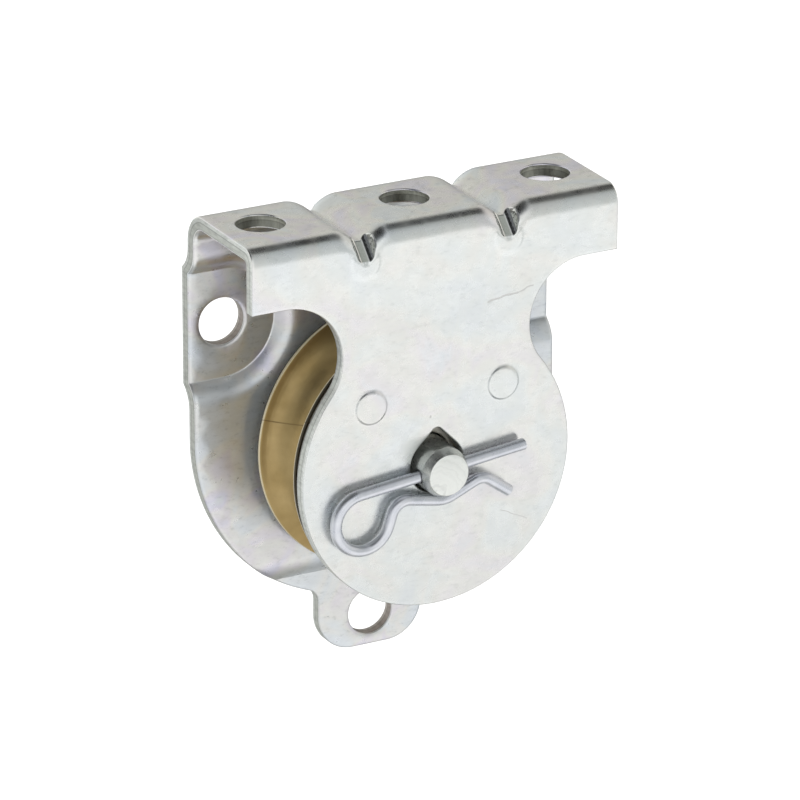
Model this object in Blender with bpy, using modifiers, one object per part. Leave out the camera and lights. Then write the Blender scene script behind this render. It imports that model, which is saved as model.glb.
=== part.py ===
# Single pulley for a wall or a ceiling: a folded steel bracket, a grooved sheave, the axle pin it
# turns on, and the hairpin clip that keeps the pin in.
#
# Metres, +Z up. The origin is on the wall, at the middle of the flat land above the lower screw hole.
# +X runs along the bracket's width, and +Y points into the wall. Each piece is drawn from the axle's
# centreline, in the plane of the front plate's face, and hangs on an empty at that place.
import math

import bmesh
import bpy
from mathutils import Matrix, Vector
from mathutils.geometry import delaunay_2d_cdt

MM = 0.001

# Sheet and fold of the bracket
SHEET = 2.0 * MM                    # thickness of the steel sheet
BRACKET_WIDTH = 54.2 * MM
BRACKET_DEPTH = 19.0 * MM           # front face of the front plate to rear face of the back plate
TOP_HEIGHT = 34.55 * MM             # plate centre to the flange's top face
FRONT_BEND = 2.4 * MM               # outer radius
REAR_BEND = 4.6 * MM                # outer radius
HOLE_RISE = 0.3 * MM                # the pin sits this much below the centre of its holes

# Front plate
BAND_BOTTOM = 25.65 * MM            # lower edge of the full-width band, above the plate centre
DISC_RADIUS = 19.9 * MM
NECK_FILLET = 8.3 * MM
BOSS_X = 9.85 * MM
BOSS_Z = 9.85 * MM
BOSS_RADIUS = 2.25 * MM
BOSS_HEIGHT = 0.3 * MM
BOSS_WALL = 0.15 * MM

# Back plate, whose ears and tab are stepped back to meet the wall
STEP_BACK = 1.76 * MM
STEP_WIDTH = 3.6 * MM               # from the soft start of a step to its crease, inside the sheet
EAR_PAD_RADIUS = 7.7 * MM
EAR_PAD_DROP = 0.2 * MM             # the pad's centre sits this much below its hole's
ARC_CENTRE_Z = 2.0 * MM             # centre of the round lower half of the back plate
TAB_WIDTH = 15.7 * MM
TAB_BOTTOM = -33.15 * MM
TAB_CORNER = 5.2 * MM
TAB_FILLET = 2.2 * MM
TAB_STEP_TOP = -17.2 * MM
STEP_SHIFT = 0.3                    # how far a step moves across the sheet, for each unit of depth

# Screw holes
SCREW_HOLE_RADIUS = 3.3 * MM
TOP_HOLE_INSET = 5.9 * MM           # outer holes of the flange, in from its ends
TOP_HOLE_Y = 9.35 * MM
EAR_HOLE_INSET = 4.9 * MM
EAR_HOLE_Z = 17.8 * MM
TAB_HOLE_Z = -28.3 * MM

# V beads pressed across the flange, each ending in a slanted gusset at both bends
BEAD_DEPTH = 2.0 * MM
BEAD_HALF_WIDTH = 4.0 * MM
BEAD_FLAT = 0.35 * MM               # half-width of the bead's flat bottom
BEAD_RUN = 6.0 * MM                 # how far down the plates the sheet is drawn in below a bead
FRONT_GUSSET = 2.25 * MM            # leg of the slanted face, below the bead's bottom
REAR_GUSSET = 2.9 * MM
GUSSET_HALF_WIDTH = 1.95 * MM
BEAD_SPREAD = 0.45                  # widening of bead and gusset, for each unit of depth

# Axle pin
PIN_RADIUS = 3.5 * MM
PIN_CLEARANCE = 0.2 * MM            # between pin and sheave, all round
AXLE_HOLE_RADIUS = 3.95 * MM
TIP_RADIUS = 3.05 * MM
TIP_LENGTH = 3.45 * MM              # how far the tip stands in front of the front plate
TIP_CHAMFER = 0.3 * MM
HEAD_RADIUS = 5.5 * MM
HEAD_THICKNESS = 1.2 * MM
HEAD_GAP = 0.3 * MM
HEAD_CHAMFER = 0.3 * MM

# Sheave
SHEAVE_RADIUS = 19.05 * MM
SHEAVE_WIDTH = 11.05 * MM
RIM_LAND = 1.0 * MM
GROOVE_DEPTH = 4.4 * MM
HUB_RADIUS = 7.0 * MM
HUB_GAP = 1.2 * MM                  # hub face to plate
WEB_RECESS = 1.6 * MM
RIM_SIDE_WIDTH = 2.6 * MM
EDGE_CHAMFER = 0.3 * MM

# Hairpin clip, whose straight leg goes through the pin's tip
WIRE_RADIUS = 0.8 * MM
CLIP_Y = -1.2 * MM
CLIP_HOLE_RADIUS = 1.0 * MM
CLIP_TILT = math.radians(6.2)
LEG_LENGTH = 12.6 * MM              # pin centre to the straight leg's free end
LOOP_RADIUS = 4.0 * MM
LOOP_RUN = 1.6 * MM                 # straight wire between the loop and the first wave
CLIP_GAP = 0.4 * MM                 # between the pin's tip and the waved leg
WAVE_RADIUS = 2.3 * MM
FIRST_CREST = (-5.2 * MM, -5.65 * MM)
LAST_CREST = (5.9 * MM, -4.6 * MM)
WAVED_END = (10.3 * MM, -4.95 * MM)

# How finely round things are drawn
ROUND_STEP = math.radians(15.0)
ARC_CHORD = 2.6 * MM
FRONT_BEND_ROWS = 6
REAR_BEND_ROWS = 7
STEP_ROWS = 7
GUSSET_EDGE_STEPS = 8
SHEAVE_STEPS = 48
PIN_STEPS = 36
WIRE_POINT_SPACING = 1.1 * MM
WELD = 0.01 * MM

HALF_WIDTH = BRACKET_WIDTH / 2
PLATE_GAP = BRACKET_DEPTH - 2 * SHEET
WALL_Y = BRACKET_DEPTH + STEP_BACK
TAB_LAND_Z = (TAB_STEP_TOP - STEP_WIDTH + TAB_HOLE_Z + SCREW_HOLE_RADIUS) / 2
EAR_HOLE_X = HALF_WIDTH - EAR_HOLE_INSET
EAR_PAD_Z = EAR_HOLE_Z - EAR_PAD_DROP
TOP_HOLE_PITCH = HALF_WIDTH - TOP_HOLE_INSET
BEAD_X = TOP_HOLE_PITCH / 2
FRONT_REACH = BEAD_DEPTH + FRONT_GUSSET
REAR_REACH = BEAD_DEPTH + REAR_GUSSET
AXLE_PLACE = (0, -WALL_Y, -TAB_LAND_Z - HOLE_RISE)


# The bracket is drawn first as a flat blank. A place on it is (x, s), where s is the height on the
# front plate and then goes on along the outside of the sheet: over the flange and down the back.
FRONT_BEND_START = TOP_HEIGHT - FRONT_BEND
FLANGE_START = FRONT_BEND_START + FRONT_BEND * math.pi / 2
FLANGE_END = FLANGE_START + BRACKET_DEPTH - FRONT_BEND - REAR_BEND
REAR_BEND_END = FLANGE_END + REAR_BEND * math.pi / 2


def back_s(z):
    """Place along the blank of height z on the back plate."""
    return REAR_BEND_END + TOP_HEIGHT - REAR_BEND - z


def arc(cx, cy, radius, start, end):
    """Points of an arc from angle start to angle end, both ends included."""
    sweep = abs(end - start)
    steps = max(2, math.ceil(sweep / ROUND_STEP), math.ceil(sweep * radius / ARC_CHORD))
    angles = [start + (end - start) * i / steps for i in range(steps + 1)]
    return [(cx + radius * math.cos(a), cy + radius * math.sin(a)) for a in angles]


def circle(cx, cy, radius):
    """A closed loop of points, without the repeated last one."""
    return arc(cx, cy, radius, 0, 2 * math.pi)[:-1]


def front_edge():
    """Right-hand edge of the front plate, from the disc's lowest point up to the band's corner."""
    fillet_z = BAND_BOTTOM - NECK_FILLET
    reach = DISC_RADIUS + NECK_FILLET
    fillet_x = math.sqrt(reach ** 2 - fillet_z ** 2)
    touch = math.atan2(fillet_z, fillet_x)
    disc = arc(0, 0, DISC_RADIUS, -math.pi / 2, touch)
    neck = arc(fillet_x, fillet_z, NECK_FILLET, touch + math.pi, math.pi / 2)
    return disc + neck[1:] + [(HALF_WIDTH, BAND_BOTTOM)]


def back_edge():
    """Right-hand edge of the back plate, from the ear down to the middle of the tab's end."""
    half_tab = TAB_WIDTH / 2
    fillet_x = half_tab + TAB_FILLET
    fillet_z = ARC_CENTRE_Z - math.sqrt((HALF_WIDTH + TAB_FILLET) ** 2 - fillet_x ** 2)
    touch = math.atan2(fillet_z - ARC_CENTRE_Z, fillet_x)
    outline = arc(0, ARC_CENTRE_Z, HALF_WIDTH, 0, touch)
    outline += arc(fillet_x, fillet_z, TAB_FILLET, touch + math.pi, math.pi)[1:]
    corner_x = half_tab - TAB_CORNER
    corner_z = TAB_BOTTOM + TAB_CORNER
    outline += arc(corner_x, corner_z, TAB_CORNER, 0, -math.pi / 2)
    return [(x, back_s(z)) for x, z in outline]


def blank_outline():
    """The whole blank, a closed loop: up the right-hand edge and back down the left one."""
    right = front_edge() + back_edge()
    left = [(-x, s) for x, s in reversed(right[1:])]
    return right + left


def teardrop():
    """The axle hole of the front plate: round, with a square corner pointing up."""
    point = AXLE_HOLE_RADIUS * math.sqrt(2)
    return arc(0, 0, AXLE_HOLE_RADIUS, math.radians(135), math.radians(405)) + [(0, point)]


def blank_holes():
    """Every hole in the blank, as closed loops."""
    loops = [teardrop(), circle(0, back_s(0), AXLE_HOLE_RADIUS)]
    hole_s = FLANGE_START + TOP_HOLE_Y - FRONT_BEND
    for x in (-TOP_HOLE_PITCH, 0, TOP_HOLE_PITCH):
        loops.append(circle(x, hole_s, SCREW_HOLE_RADIUS))
    for x in (-EAR_HOLE_X, EAR_HOLE_X):
        loops.append(circle(x, back_s(EAR_HOLE_Z), SCREW_HOLE_RADIUS))
    loops.append(circle(0, back_s(TAB_HOLE_Z), SCREW_HOLE_RADIUS))
    return loops


def even_values(start, end, count):
    return [start + (end - start) * i / count for i in range(count + 1)]


def bend_lines():
    """Lines straight across the blank, where the bends and the tab's step need rows of points."""
    rows = even_values(FRONT_BEND_START, FLANGE_START, FRONT_BEND_ROWS)
    rows += even_values(FLANGE_END, REAR_BEND_END, REAR_BEND_ROWS)
    step_start = TAB_STEP_TOP + STEP_SHIFT * SHEET
    rows += [back_s(z) for z in even_values(step_start, TAB_STEP_TOP - STEP_WIDTH, STEP_ROWS)]
    rows += [FRONT_BEND_START - BEAD_RUN, REAR_BEND_END + BEAD_RUN]
    return [[(-BRACKET_WIDTH, s), (BRACKET_WIDTH, s)] for s in rows]


def bead_offsets():
    """Distances from a bead's middle where its cross-section bends, on both sides of the sheet."""
    spread = BEAD_SPREAD * SHEET
    gusset = [share * GUSSET_HALF_WIDTH for share in (0.6, 0.85, 1.0)]
    bead = [share * BEAD_HALF_WIDTH for share in (0.75, 1.0)]
    return [BEAD_FLAT] + gusset + [GUSSET_HALF_WIDTH + spread] + bead + [BEAD_HALF_WIDTH + spread]


def bead_lines():
    """Lines along each bead, from plate to plate."""
    lines = []
    for side in (-1, 1):
        for offset in bead_offsets():
            for x in (side * BEAD_X - offset, side * BEAD_X + offset):
                lines.append([(x, FRONT_BEND_START - BEAD_RUN), (x, REAR_BEND_END + BEAD_RUN)])
    return lines


def gusset_edge(radius, reach, depth, upper):
    """One crease of a gusset, as (offset, along) points: where its slanted face meets the plate or,
    if upper, the bead. Along is measured on the blank from the start of the bend, up the plate."""
    half_width = GUSSET_HALF_WIDTH + BEAD_SPREAD * depth
    points = []
    for turn in even_values(-math.pi / 2, math.pi / 2, GUSSET_EDGE_STEPS):
        offset = half_width * math.sin(turn)
        drop = bead_drop(BEAD_X + offset, depth)
        cut = gusset_cut(BEAD_X + offset, depth, reach)
        ratio = (2 * radius + drop - cut - depth * math.sqrt(2)) / (radius - depth)
        if ratio >= math.sqrt(2):
            continue
        if ratio > 1:
            half_turn = math.acos(ratio / math.sqrt(2))
            along = radius * (math.pi / 4 + half_turn if upper else math.pi / 4 - half_turn)
        elif upper:
            along = radius * (math.pi / 2 - 1) + cut - drop + depth * (math.sqrt(2) - 1)
        else:
            below = cut - drop + depth * (math.sqrt(2) - 1) - radius
            along = -below / (1 - drop / BEAD_RUN)
        points.append((offset, along))
    return points


def gusset_edges():
    lines = []
    for side in (-1, 1):
        for depth in (0, SHEET):
            for upper in (False, True):
                front = gusset_edge(FRONT_BEND, FRONT_REACH, depth, upper)
                rear = gusset_edge(REAR_BEND, REAR_REACH, depth, upper)
                lines.append([(side * BEAD_X + x, FRONT_BEND_START + along) for x, along in front])
                lines.append([(side * BEAD_X + x, REAR_BEND_END - along) for x, along in rear])
    return lines


def ear_lines():
    """Lines round each ear's pad, where the sheet steps back."""
    reach = STEP_WIDTH + STEP_SHIFT * SHEET
    lines = []
    for extra in even_values(0, reach, STEP_ROWS):
        radius = EAR_PAD_RADIUS + extra
        bow = arc(EAR_HOLE_X, EAR_PAD_Z, radius, math.pi / 2, 3 * math.pi / 2)
        line = [(BRACKET_WIDTH, EAR_PAD_Z + radius)] + bow + [(BRACKET_WIDTH, EAR_PAD_Z - radius)]
        lines.append([(x, back_s(z)) for x, z in line])
        lines.append([(-x, back_s(z)) for x, z in line])
    return lines


def boss_loops():
    loops = []
    for x in (-BOSS_X, BOSS_X):
        loops.append(circle(x, BOSS_Z, BOSS_RADIUS))
        loops.append(circle(x, BOSS_Z, BOSS_RADIUS + BOSS_WALL))
    return loops


def inside(point, loop):
    """Whether a point of the blank lies inside a closed loop."""
    x, y = point
    result = False
    for (x0, y0), (x1, y1) in zip(loop, loop[1:] + loop[:1]):
        if (y0 > y) != (y1 > y) and x < x0 + (y - y0) * (x1 - x0) / (y1 - y0):
            result = not result
    return result


def flat_blank():
    """The cut-out sheet as a flat mesh: x across, y for s, z from 0 outside to -SHEET inside."""
    outline = blank_outline()
    holes = blank_holes()
    closed = [outline] + holes + boss_loops()
    opened = bend_lines() + bead_lines() + gusset_edges() + ear_lines()
    points = []
    edges = []
    for loops, wraps in ((closed, True), (opened, False)):
        for loop in loops:
            first = len(points)
            points += [Vector(p) for p in loop]
            edges += [(first + i, first + i + 1) for i in range(len(loop) - 1)]
            if wraps:
                edges.append((first + len(loop) - 1, first))
    cut_points, _, faces, _, _, _ = delaunay_2d_cdt(points, edges, [], 0, WELD)
    mesh = bmesh.new()
    verts = [mesh.verts.new((p.x, p.y, 0)) for p in cut_points]
    for face in faces:
        middle = sum((cut_points[i] for i in face), Vector((0, 0))) / len(face)
        if inside(middle, outline) and not any(inside(middle, hole) for hole in holes):
            mesh.faces.new([verts[i] for i in face])
    bmesh.ops.delete(mesh, geom=[v for v in mesh.verts if not v.link_faces], context="VERTS")
    lower = bmesh.ops.extrude_face_region(mesh, geom=list(mesh.faces), use_keep_orig=True)
    for vert in [v for v in lower["geom"] if isinstance(v, bmesh.types.BMVert)]:
        vert.co.z = -SHEET
    bmesh.ops.recalc_face_normals(mesh, faces=mesh.faces)
    return mesh


def folded_profile(s, depth):
    """Where the plain inverted U takes a place s at a depth inside the sheet: (y, z)."""
    if s <= FRONT_BEND_START:
        return depth, s
    if s <= FLANGE_START:
        angle = (s - FRONT_BEND_START) / FRONT_BEND
        radius = FRONT_BEND - depth
        return FRONT_BEND - radius * math.cos(angle), FRONT_BEND_START + radius * math.sin(angle)
    if s <= FLANGE_END:
        return FRONT_BEND + s - FLANGE_START, TOP_HEIGHT - depth
    if s <= REAR_BEND_END:
        angle = (s - FLANGE_END) / REAR_BEND
        radius = REAR_BEND - depth
        y = BRACKET_DEPTH - REAR_BEND + radius * math.sin(angle)
        return y, TOP_HEIGHT - REAR_BEND + radius * math.cos(angle)
    return BRACKET_DEPTH - depth, TOP_HEIGHT - REAR_BEND - (s - REAR_BEND_END)


def bead_drop(x, depth):
    """How far a bead lowers the flange at a place across the sheet."""
    from_middle = abs(abs(x) - BEAD_X)
    slope_width = BEAD_HALF_WIDTH + BEAD_SPREAD * depth - BEAD_FLAT
    share = max(0.0, from_middle - BEAD_FLAT) / slope_width
    return BEAD_DEPTH * max(0.0, 1 - share) ** 2


def gusset_cut(x, depth, reach):
    """How far in from the folded corner a gusset's slanted face starts, along either plate."""
    share = abs(abs(x) - BEAD_X) / (GUSSET_HALF_WIDTH + BEAD_SPREAD * depth)
    return reach * (1 - min(1.0, share) ** 4)


def bead_hold(s):
    """How much of a bead's drop a place takes: all of it on the flange and bends, none far below."""
    past_bends = max(FRONT_BEND_START - s, s - REAR_BEND_END, 0.0)
    return max(0.0, 1 - past_bends / BEAD_RUN)


def pressed_profile(x, s, y, z, depth):
    """Where the beads and gussets take a point of the plain profile: down, and off the corners."""
    z -= bead_drop(x, depth) * bead_hold(s)
    slant = depth * math.sqrt(2)
    front = gusset_cut(x, depth, FRONT_REACH) + slant - (y + TOP_HEIGHT - z)
    if front > 0:
        y += front / 2
        z -= front / 2
    rear = gusset_cut(x, depth, REAR_REACH) + slant - (BRACKET_DEPTH - y + TOP_HEIGHT - z)
    if rear > 0:
        y -= rear / 2
        z -= rear / 2
    return y, z


def step_share(x, z, depth):
    """How far a place on the back plate is stepped back, from 0 to 1: soft at the plate's side,
    with a crease at the pad's."""
    shift = STEP_SHIFT * (SHEET - depth)
    from_ear = math.hypot(max(0.0, EAR_HOLE_X - abs(x)), z - EAR_PAD_Z)
    ear = (EAR_PAD_RADIUS + shift + STEP_WIDTH - from_ear) / STEP_WIDTH
    tab = (TAB_STEP_TOP + shift - z) / STEP_WIDTH
    return min(1.0, max(0.0, ear, tab)) ** 2


def boss_share(x, z):
    distance = math.hypot(abs(x) - BOSS_X, z - BOSS_Z)
    return min(1.0, max(0.0, (BOSS_RADIUS + BOSS_WALL - distance) / BOSS_WALL))


def press(x, s, depth):
    """Takes a point of the flat blank to its place on the pressed and folded bracket."""
    y, z = folded_profile(s, depth)
    y, z = pressed_profile(x, s, y, z, depth)
    if s > REAR_BEND_END:
        y += STEP_BACK * step_share(x, z, depth)
    if s < FRONT_BEND_START:
        y -= BOSS_HEIGHT * boss_share(x, z)
    return Vector((x, y, z + HOLE_RISE))


def material(name, colour, roughness, metallic):
    made = bpy.data.materials.new(name)
    made.use_nodes = True
    shader = made.node_tree.nodes["Principled BSDF"]
    shader.inputs["Base Color"].default_value = (*colour, 1)
    shader.inputs["Roughness"].default_value = roughness
    shader.inputs["Metallic"].default_value = metallic
    made.diffuse_color = (*colour, 1)
    return made


def smooth_shading(mesh, angle):
    mesh.shade_smooth()
    mesh.set_sharp_from_angle(angle=math.radians(angle))


def add_object(name, mesh, finish, collection):
    made = bpy.data.objects.new(name, mesh)
    if finish:
        mesh.materials.append(finish)
    collection.objects.link(made)
    return made


def make_bracket(finish, collection):
    work = flat_blank()
    for vert in work.verts:
        vert.co = press(vert.co.x, vert.co.y, -vert.co.z)
    bmesh.ops.triangulate(work, faces=[f for f in work.faces if len(f.verts) > 3])
    bmesh.ops.recalc_face_normals(work, faces=work.faces)
    mesh = bpy.data.meshes.new("bracket")
    work.to_mesh(mesh)
    work.free()
    smooth_shading(mesh, 35)
    return add_object("bracket", mesh, finish, collection)


def turned(name, profile, steps, place, finish, collection):
    """Turns a profile of (radius, y) points about the Y axis, as a Screw modifier does."""
    mesh = bpy.data.meshes.new(name)
    points = [(radius, 0, -y) for radius, y in profile]
    edges = [(i, (i + 1) % len(points)) for i in range(len(points))]
    mesh.from_pydata(points, edges, [])
    made = add_object(name, mesh, finish, collection)
    made.location = place
    made.rotation_euler = (math.pi / 2, 0, 0)
    screw = made.modifiers.new("turn", "SCREW")
    screw.axis = "Z"
    screw.steps = steps
    screw.render_steps = steps
    screw.use_merge_vertices = True
    screw.merge_threshold = WELD
    screw.use_smooth_shade = True
    screw.use_normal_calculate = True
    return made


def groove():
    """Half-round rope groove between the two rims, as (radius, y) points from front to rear."""
    half = SHEAVE_WIDTH / 2 - RIM_LAND
    radius = (half ** 2 + GROOVE_DEPTH ** 2) / (2 * GROOVE_DEPTH)
    centre = SHEAVE_RADIUS - GROOVE_DEPTH + radius
    reach = math.asin(half / radius) if GROOVE_DEPTH <= radius else math.pi - math.asin(half / radius)
    angles = even_values(-reach, reach, 12)
    return [(centre - radius * math.cos(a), radius * math.sin(a)) for a in angles]


def make_sheave(finish, collection):
    bore = PIN_RADIUS + PIN_CLEARANCE
    hub_half = PLATE_GAP / 2 - HUB_GAP
    rim_half = SHEAVE_WIDTH / 2
    web_half = rim_half - WEB_RECESS
    web_outer = SHEAVE_RADIUS - GROOVE_DEPTH - RIM_SIDE_WIDTH
    side = [
        (bore + EDGE_CHAMFER, hub_half),
        (HUB_RADIUS - EDGE_CHAMFER, hub_half),
        (HUB_RADIUS, hub_half - EDGE_CHAMFER),
        (HUB_RADIUS, web_half),
        (web_outer, web_half),
        (web_outer + WEB_RECESS, rim_half),
        (SHEAVE_RADIUS - EDGE_CHAMFER, rim_half),
        (SHEAVE_RADIUS, rim_half - EDGE_CHAMFER),
    ]
    front = [(radius, -y) for radius, y in side]
    rear = list(reversed(side))
    profile = [(bore, -hub_half + EDGE_CHAMFER)] + front + groove() + rear
    profile.append((bore, hub_half - EDGE_CHAMFER))
    place = (0, SHEET + PLATE_GAP / 2, 0)
    return turned("sheave", profile, SHEAVE_STEPS, place, finish, collection)


def make_axle_pin(finish, collection, cutters):
    head_front = BRACKET_DEPTH + HEAD_GAP
    head_rear = head_front + HEAD_THICKNESS
    outline = [
        (TIP_RADIUS - TIP_CHAMFER, -TIP_LENGTH),
        (TIP_RADIUS, TIP_CHAMFER - TIP_LENGTH),
        (TIP_RADIUS, 0),
        (PIN_RADIUS, 0),
        (PIN_RADIUS, head_front),
        (HEAD_RADIUS, head_front),
        (HEAD_RADIUS, head_rear - HEAD_CHAMFER),
        (HEAD_RADIUS - HEAD_CHAMFER, head_rear),
    ]
    profile = [(0, -TIP_LENGTH)] + outline + [(0, head_rear)]
    pin = turned("axle_pin", profile, PIN_STEPS, (0, 0, 0), finish, collection)
    work = bmesh.new()
    length = 4 * TIP_RADIUS
    bmesh.ops.create_cone(work, cap_ends=True, segments=20, radius1=CLIP_HOLE_RADIUS,
                          radius2=CLIP_HOLE_RADIUS, depth=length)
    turn = Matrix.Rotation(math.pi / 2 - CLIP_TILT, 4, "Y")
    bmesh.ops.transform(work, matrix=Matrix.Translation((0, CLIP_Y, 0)) @ turn, verts=work.verts)
    mesh = bpy.data.meshes.new("clip_hole")
    work.to_mesh(mesh)
    work.free()
    cutter = add_object("clip_hole", mesh, None, cutters)
    cutter.hide_render = True
    cutter.display_type = "WIRE"
    cut = pin.modifiers.new("clip_hole", "BOOLEAN")
    cut.operation = "DIFFERENCE"
    cut.solver = "EXACT"
    cut.object = cutter
    return pin


def tangent_points(first, second):
    """Where a path leaves one circle and meets the next. Each is (x, z, radius, turn), and turn is
    1 where the path bends left round it and -1 where it bends right."""
    x0, z0, radius0, turn0 = first
    x1, z1, radius1, turn1 = second
    apart = math.hypot(x1 - x0, z1 - z0)
    heading = math.atan2(z1 - z0, x1 - x0)
    heading -= math.asin((turn1 * radius1 - turn0 * radius0) / apart)
    side_x = -math.sin(heading)
    side_z = math.cos(heading)
    leave = (x0 - turn0 * radius0 * side_x, z0 - turn0 * radius0 * side_z)
    meet = (x1 - turn1 * radius1 * side_x, z1 - turn1 * radius1 * side_z)
    return leave, meet


def clip_path():
    """Centreline of the clip's wire: straight leg, loop, and a waved leg that hugs the pin."""
    along = Vector((math.cos(CLIP_TILT), math.sin(CLIP_TILT)))
    below = Vector((along.y, -along.x))
    crest = Vector(FIRST_CREST)
    apart = math.hypot(LOOP_RADIUS + WAVE_RADIUS, LOOP_RUN)
    loop_reach = math.sqrt(apart ** 2 - (crest.dot(below) - LOOP_RADIUS) ** 2) - crest.dot(along)
    loop = LOOP_RADIUS * below - loop_reach * along
    hug = TIP_RADIUS + CLIP_GAP + WIRE_RADIUS
    stops = [
        (*(LEG_LENGTH * along), 0, 1),
        (*loop, LOOP_RADIUS, 1),
        (*FIRST_CREST, WAVE_RADIUS, -1),
        (0, 0, hug, 1),
        (*LAST_CREST, WAVE_RADIUS, -1),
        (*WAVED_END, 0, 1),
    ]
    runs = [tangent_points(a, b) for a, b in zip(stops, stops[1:])]
    path = [runs[0][0], runs[0][1]]
    for (x, z, radius, turn), arrive, leave in zip(stops[1:-1], runs, runs[1:]):
        begin = math.atan2(arrive[1][1] - z, arrive[1][0] - x)
        end = math.atan2(leave[0][1] - z, leave[0][0] - x)
        sweep = ((end - begin) * turn) % (2 * math.pi) * turn
        steps = max(2, math.ceil(abs(sweep) * radius / WIRE_POINT_SPACING))
        for i in range(1, steps + 1):
            angle = begin + sweep * i / steps
            path.append((x + radius * math.cos(angle), z + radius * math.sin(angle)))
        path.append(leave[1])
    return path


def make_hitch_clip(finish, collection):
    curve = bpy.data.curves.new("hitch_clip", "CURVE")
    curve.dimensions = "3D"
    curve.bevel_depth = WIRE_RADIUS
    curve.bevel_resolution = 2
    curve.use_fill_caps = True
    points = clip_path()
    spline = curve.splines.new("POLY")
    spline.points.add(len(points) - 1)
    for point, (x, z) in zip(spline.points, points):
        point.co = (x, 0, z, 1)
    curve.materials.append(finish)
    made = bpy.data.objects.new("hitch_clip", curve)
    made.location = (0, CLIP_Y, 0)
    collection.objects.link(made)
    return made


def main():
    for old in list(bpy.data.objects):
        bpy.data.objects.remove(old)
    parts = bpy.data.collections.new("single_pulley")
    cutters = bpy.data.collections.new("cutters")
    bpy.context.scene.collection.children.link(parts)
    bpy.context.scene.collection.children.link(cutters)
    zinc = material("zinc_sheet", (0.74, 0.76, 0.75), 0.32, 1.0)
    brass = material("brass_sheave", (0.40, 0.28, 0.13), 0.38, 1.0)
    steel = material("steel_pin", (0.62, 0.63, 0.62), 0.3, 1.0)
    wire = material("zinc_wire", (0.66, 0.67, 0.70), 0.22, 1.0)
    axle_line = bpy.data.objects.new("axle_line", None)
    axle_line.location = AXLE_PLACE
    parts.objects.link(axle_line)
    make_bracket(zinc, parts)
    make_sheave(brass, parts)
    make_axle_pin(steel, parts, cutters)
    make_hitch_clip(wire, parts)
    for made in list(parts.objects) + list(cutters.objects):
        if made != axle_line:
            made.parent = axle_line


main()
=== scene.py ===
# %% [markdown]
# A single pulley for a wall or a ceiling. A strip of zinc-plated steel is folded into an upside-down
# U. A brass-coloured sheave turns between its plates on a steel pin, and a hairpin clip of spring
# wire keeps the pin in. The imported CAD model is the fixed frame: every piece made here stands for
# one of its nodes, sits exactly where that node sits, and only adds finer form and a real finish.
# Sizes are written in millimetres and turned to metres, which Blender works in.

# %% Load the frame
import math

import bmesh
import bpy
import numpy as np
from mathutils import Matrix, Vector
from mathutils.geometry import delaunay_2d_cdt


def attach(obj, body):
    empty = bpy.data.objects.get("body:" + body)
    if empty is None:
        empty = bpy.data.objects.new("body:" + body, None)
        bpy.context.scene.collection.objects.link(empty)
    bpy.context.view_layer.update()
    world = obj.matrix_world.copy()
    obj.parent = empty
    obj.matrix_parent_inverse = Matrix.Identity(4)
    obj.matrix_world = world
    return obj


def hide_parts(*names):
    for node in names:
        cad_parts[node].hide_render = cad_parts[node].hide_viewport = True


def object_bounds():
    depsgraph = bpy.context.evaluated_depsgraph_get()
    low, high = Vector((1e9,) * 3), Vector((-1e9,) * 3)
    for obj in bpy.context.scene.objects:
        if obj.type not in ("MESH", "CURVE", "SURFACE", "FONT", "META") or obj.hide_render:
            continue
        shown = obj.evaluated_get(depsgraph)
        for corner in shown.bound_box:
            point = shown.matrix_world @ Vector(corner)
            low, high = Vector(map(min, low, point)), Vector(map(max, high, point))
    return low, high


MM = 0.001
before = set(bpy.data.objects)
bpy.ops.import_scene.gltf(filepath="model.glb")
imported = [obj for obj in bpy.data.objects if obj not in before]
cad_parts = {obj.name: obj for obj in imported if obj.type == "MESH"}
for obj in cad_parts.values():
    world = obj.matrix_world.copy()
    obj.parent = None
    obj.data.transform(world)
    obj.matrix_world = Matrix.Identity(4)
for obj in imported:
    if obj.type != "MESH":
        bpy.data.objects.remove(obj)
cad_box = [list(corner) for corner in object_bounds()]
print("CAD box in mm", [[round(v / MM, 2) for v in corner] for corner in cad_box])

# %% [markdown]
# Colours are written as sRGB hex values, as a paint chart would give them, and one function turns
# them into the linear values that shaders work with. One small function adds any shader node, with
# its settings and links, and gives back the socket that the next node takes, so that a material reads
# as a short list of what it is made of. Two kinds are used often. A MapRange takes the value, the two
# ends it comes from and the two it goes to. A Mix of colours takes its share in socket 0 and its
# colours in sockets 6 and 7, and gives the result as output 2.

# %% Colour and node helpers
def linear(colour):
    """Linear RGBA for an sRGB hex colour such as "#c9cccb"."""
    shares = [int(colour[i:i + 2], 16) / 255 for i in (1, 3, 5)]
    bent = [c / 12.92 if c <= 0.04045 else ((c + 0.055) / 1.055) ** 2.4 for c in shares]
    return (*bent, 1.0)


def add(tree, kind, inputs=(), output=0, stops=(), **settings):
    """Adds a node, and gives back one of its outputs. The inputs are sockets to link or values to set,
    by name or in order. The stops are a ramp's, as (place, hex colour)."""
    node = tree.nodes.new("ShaderNode" + kind)
    for name, value in settings.items():
        setattr(node, name, value)
    for name, value in inputs.items() if isinstance(inputs, dict) else enumerate(inputs):
        if isinstance(value, bpy.types.NodeSocket):
            tree.links.new(value, node.inputs[name])
        else:
            node.inputs[name].default_value = value
    while stops and len(node.color_ramp.elements) < len(stops):
        node.color_ramp.elements.new(0.5)
    for i, (place, colour) in enumerate(stops):
        node.color_ramp.elements[i].position = place
        node.color_ramp.elements[i].color = linear(colour)
    return node.outputs[output] if len(node.outputs) else node


def material(name, make_surface, *values):
    """A material whose surface is what make_surface adds to its node tree."""
    made = bpy.data.materials.new(name)
    made.use_nodes = True
    made.node_tree.nodes.clear()
    add(made.node_tree, "OutputMaterial", {"Surface": make_surface(made.node_tree, *values)})
    print("made", name)
    return made


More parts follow.
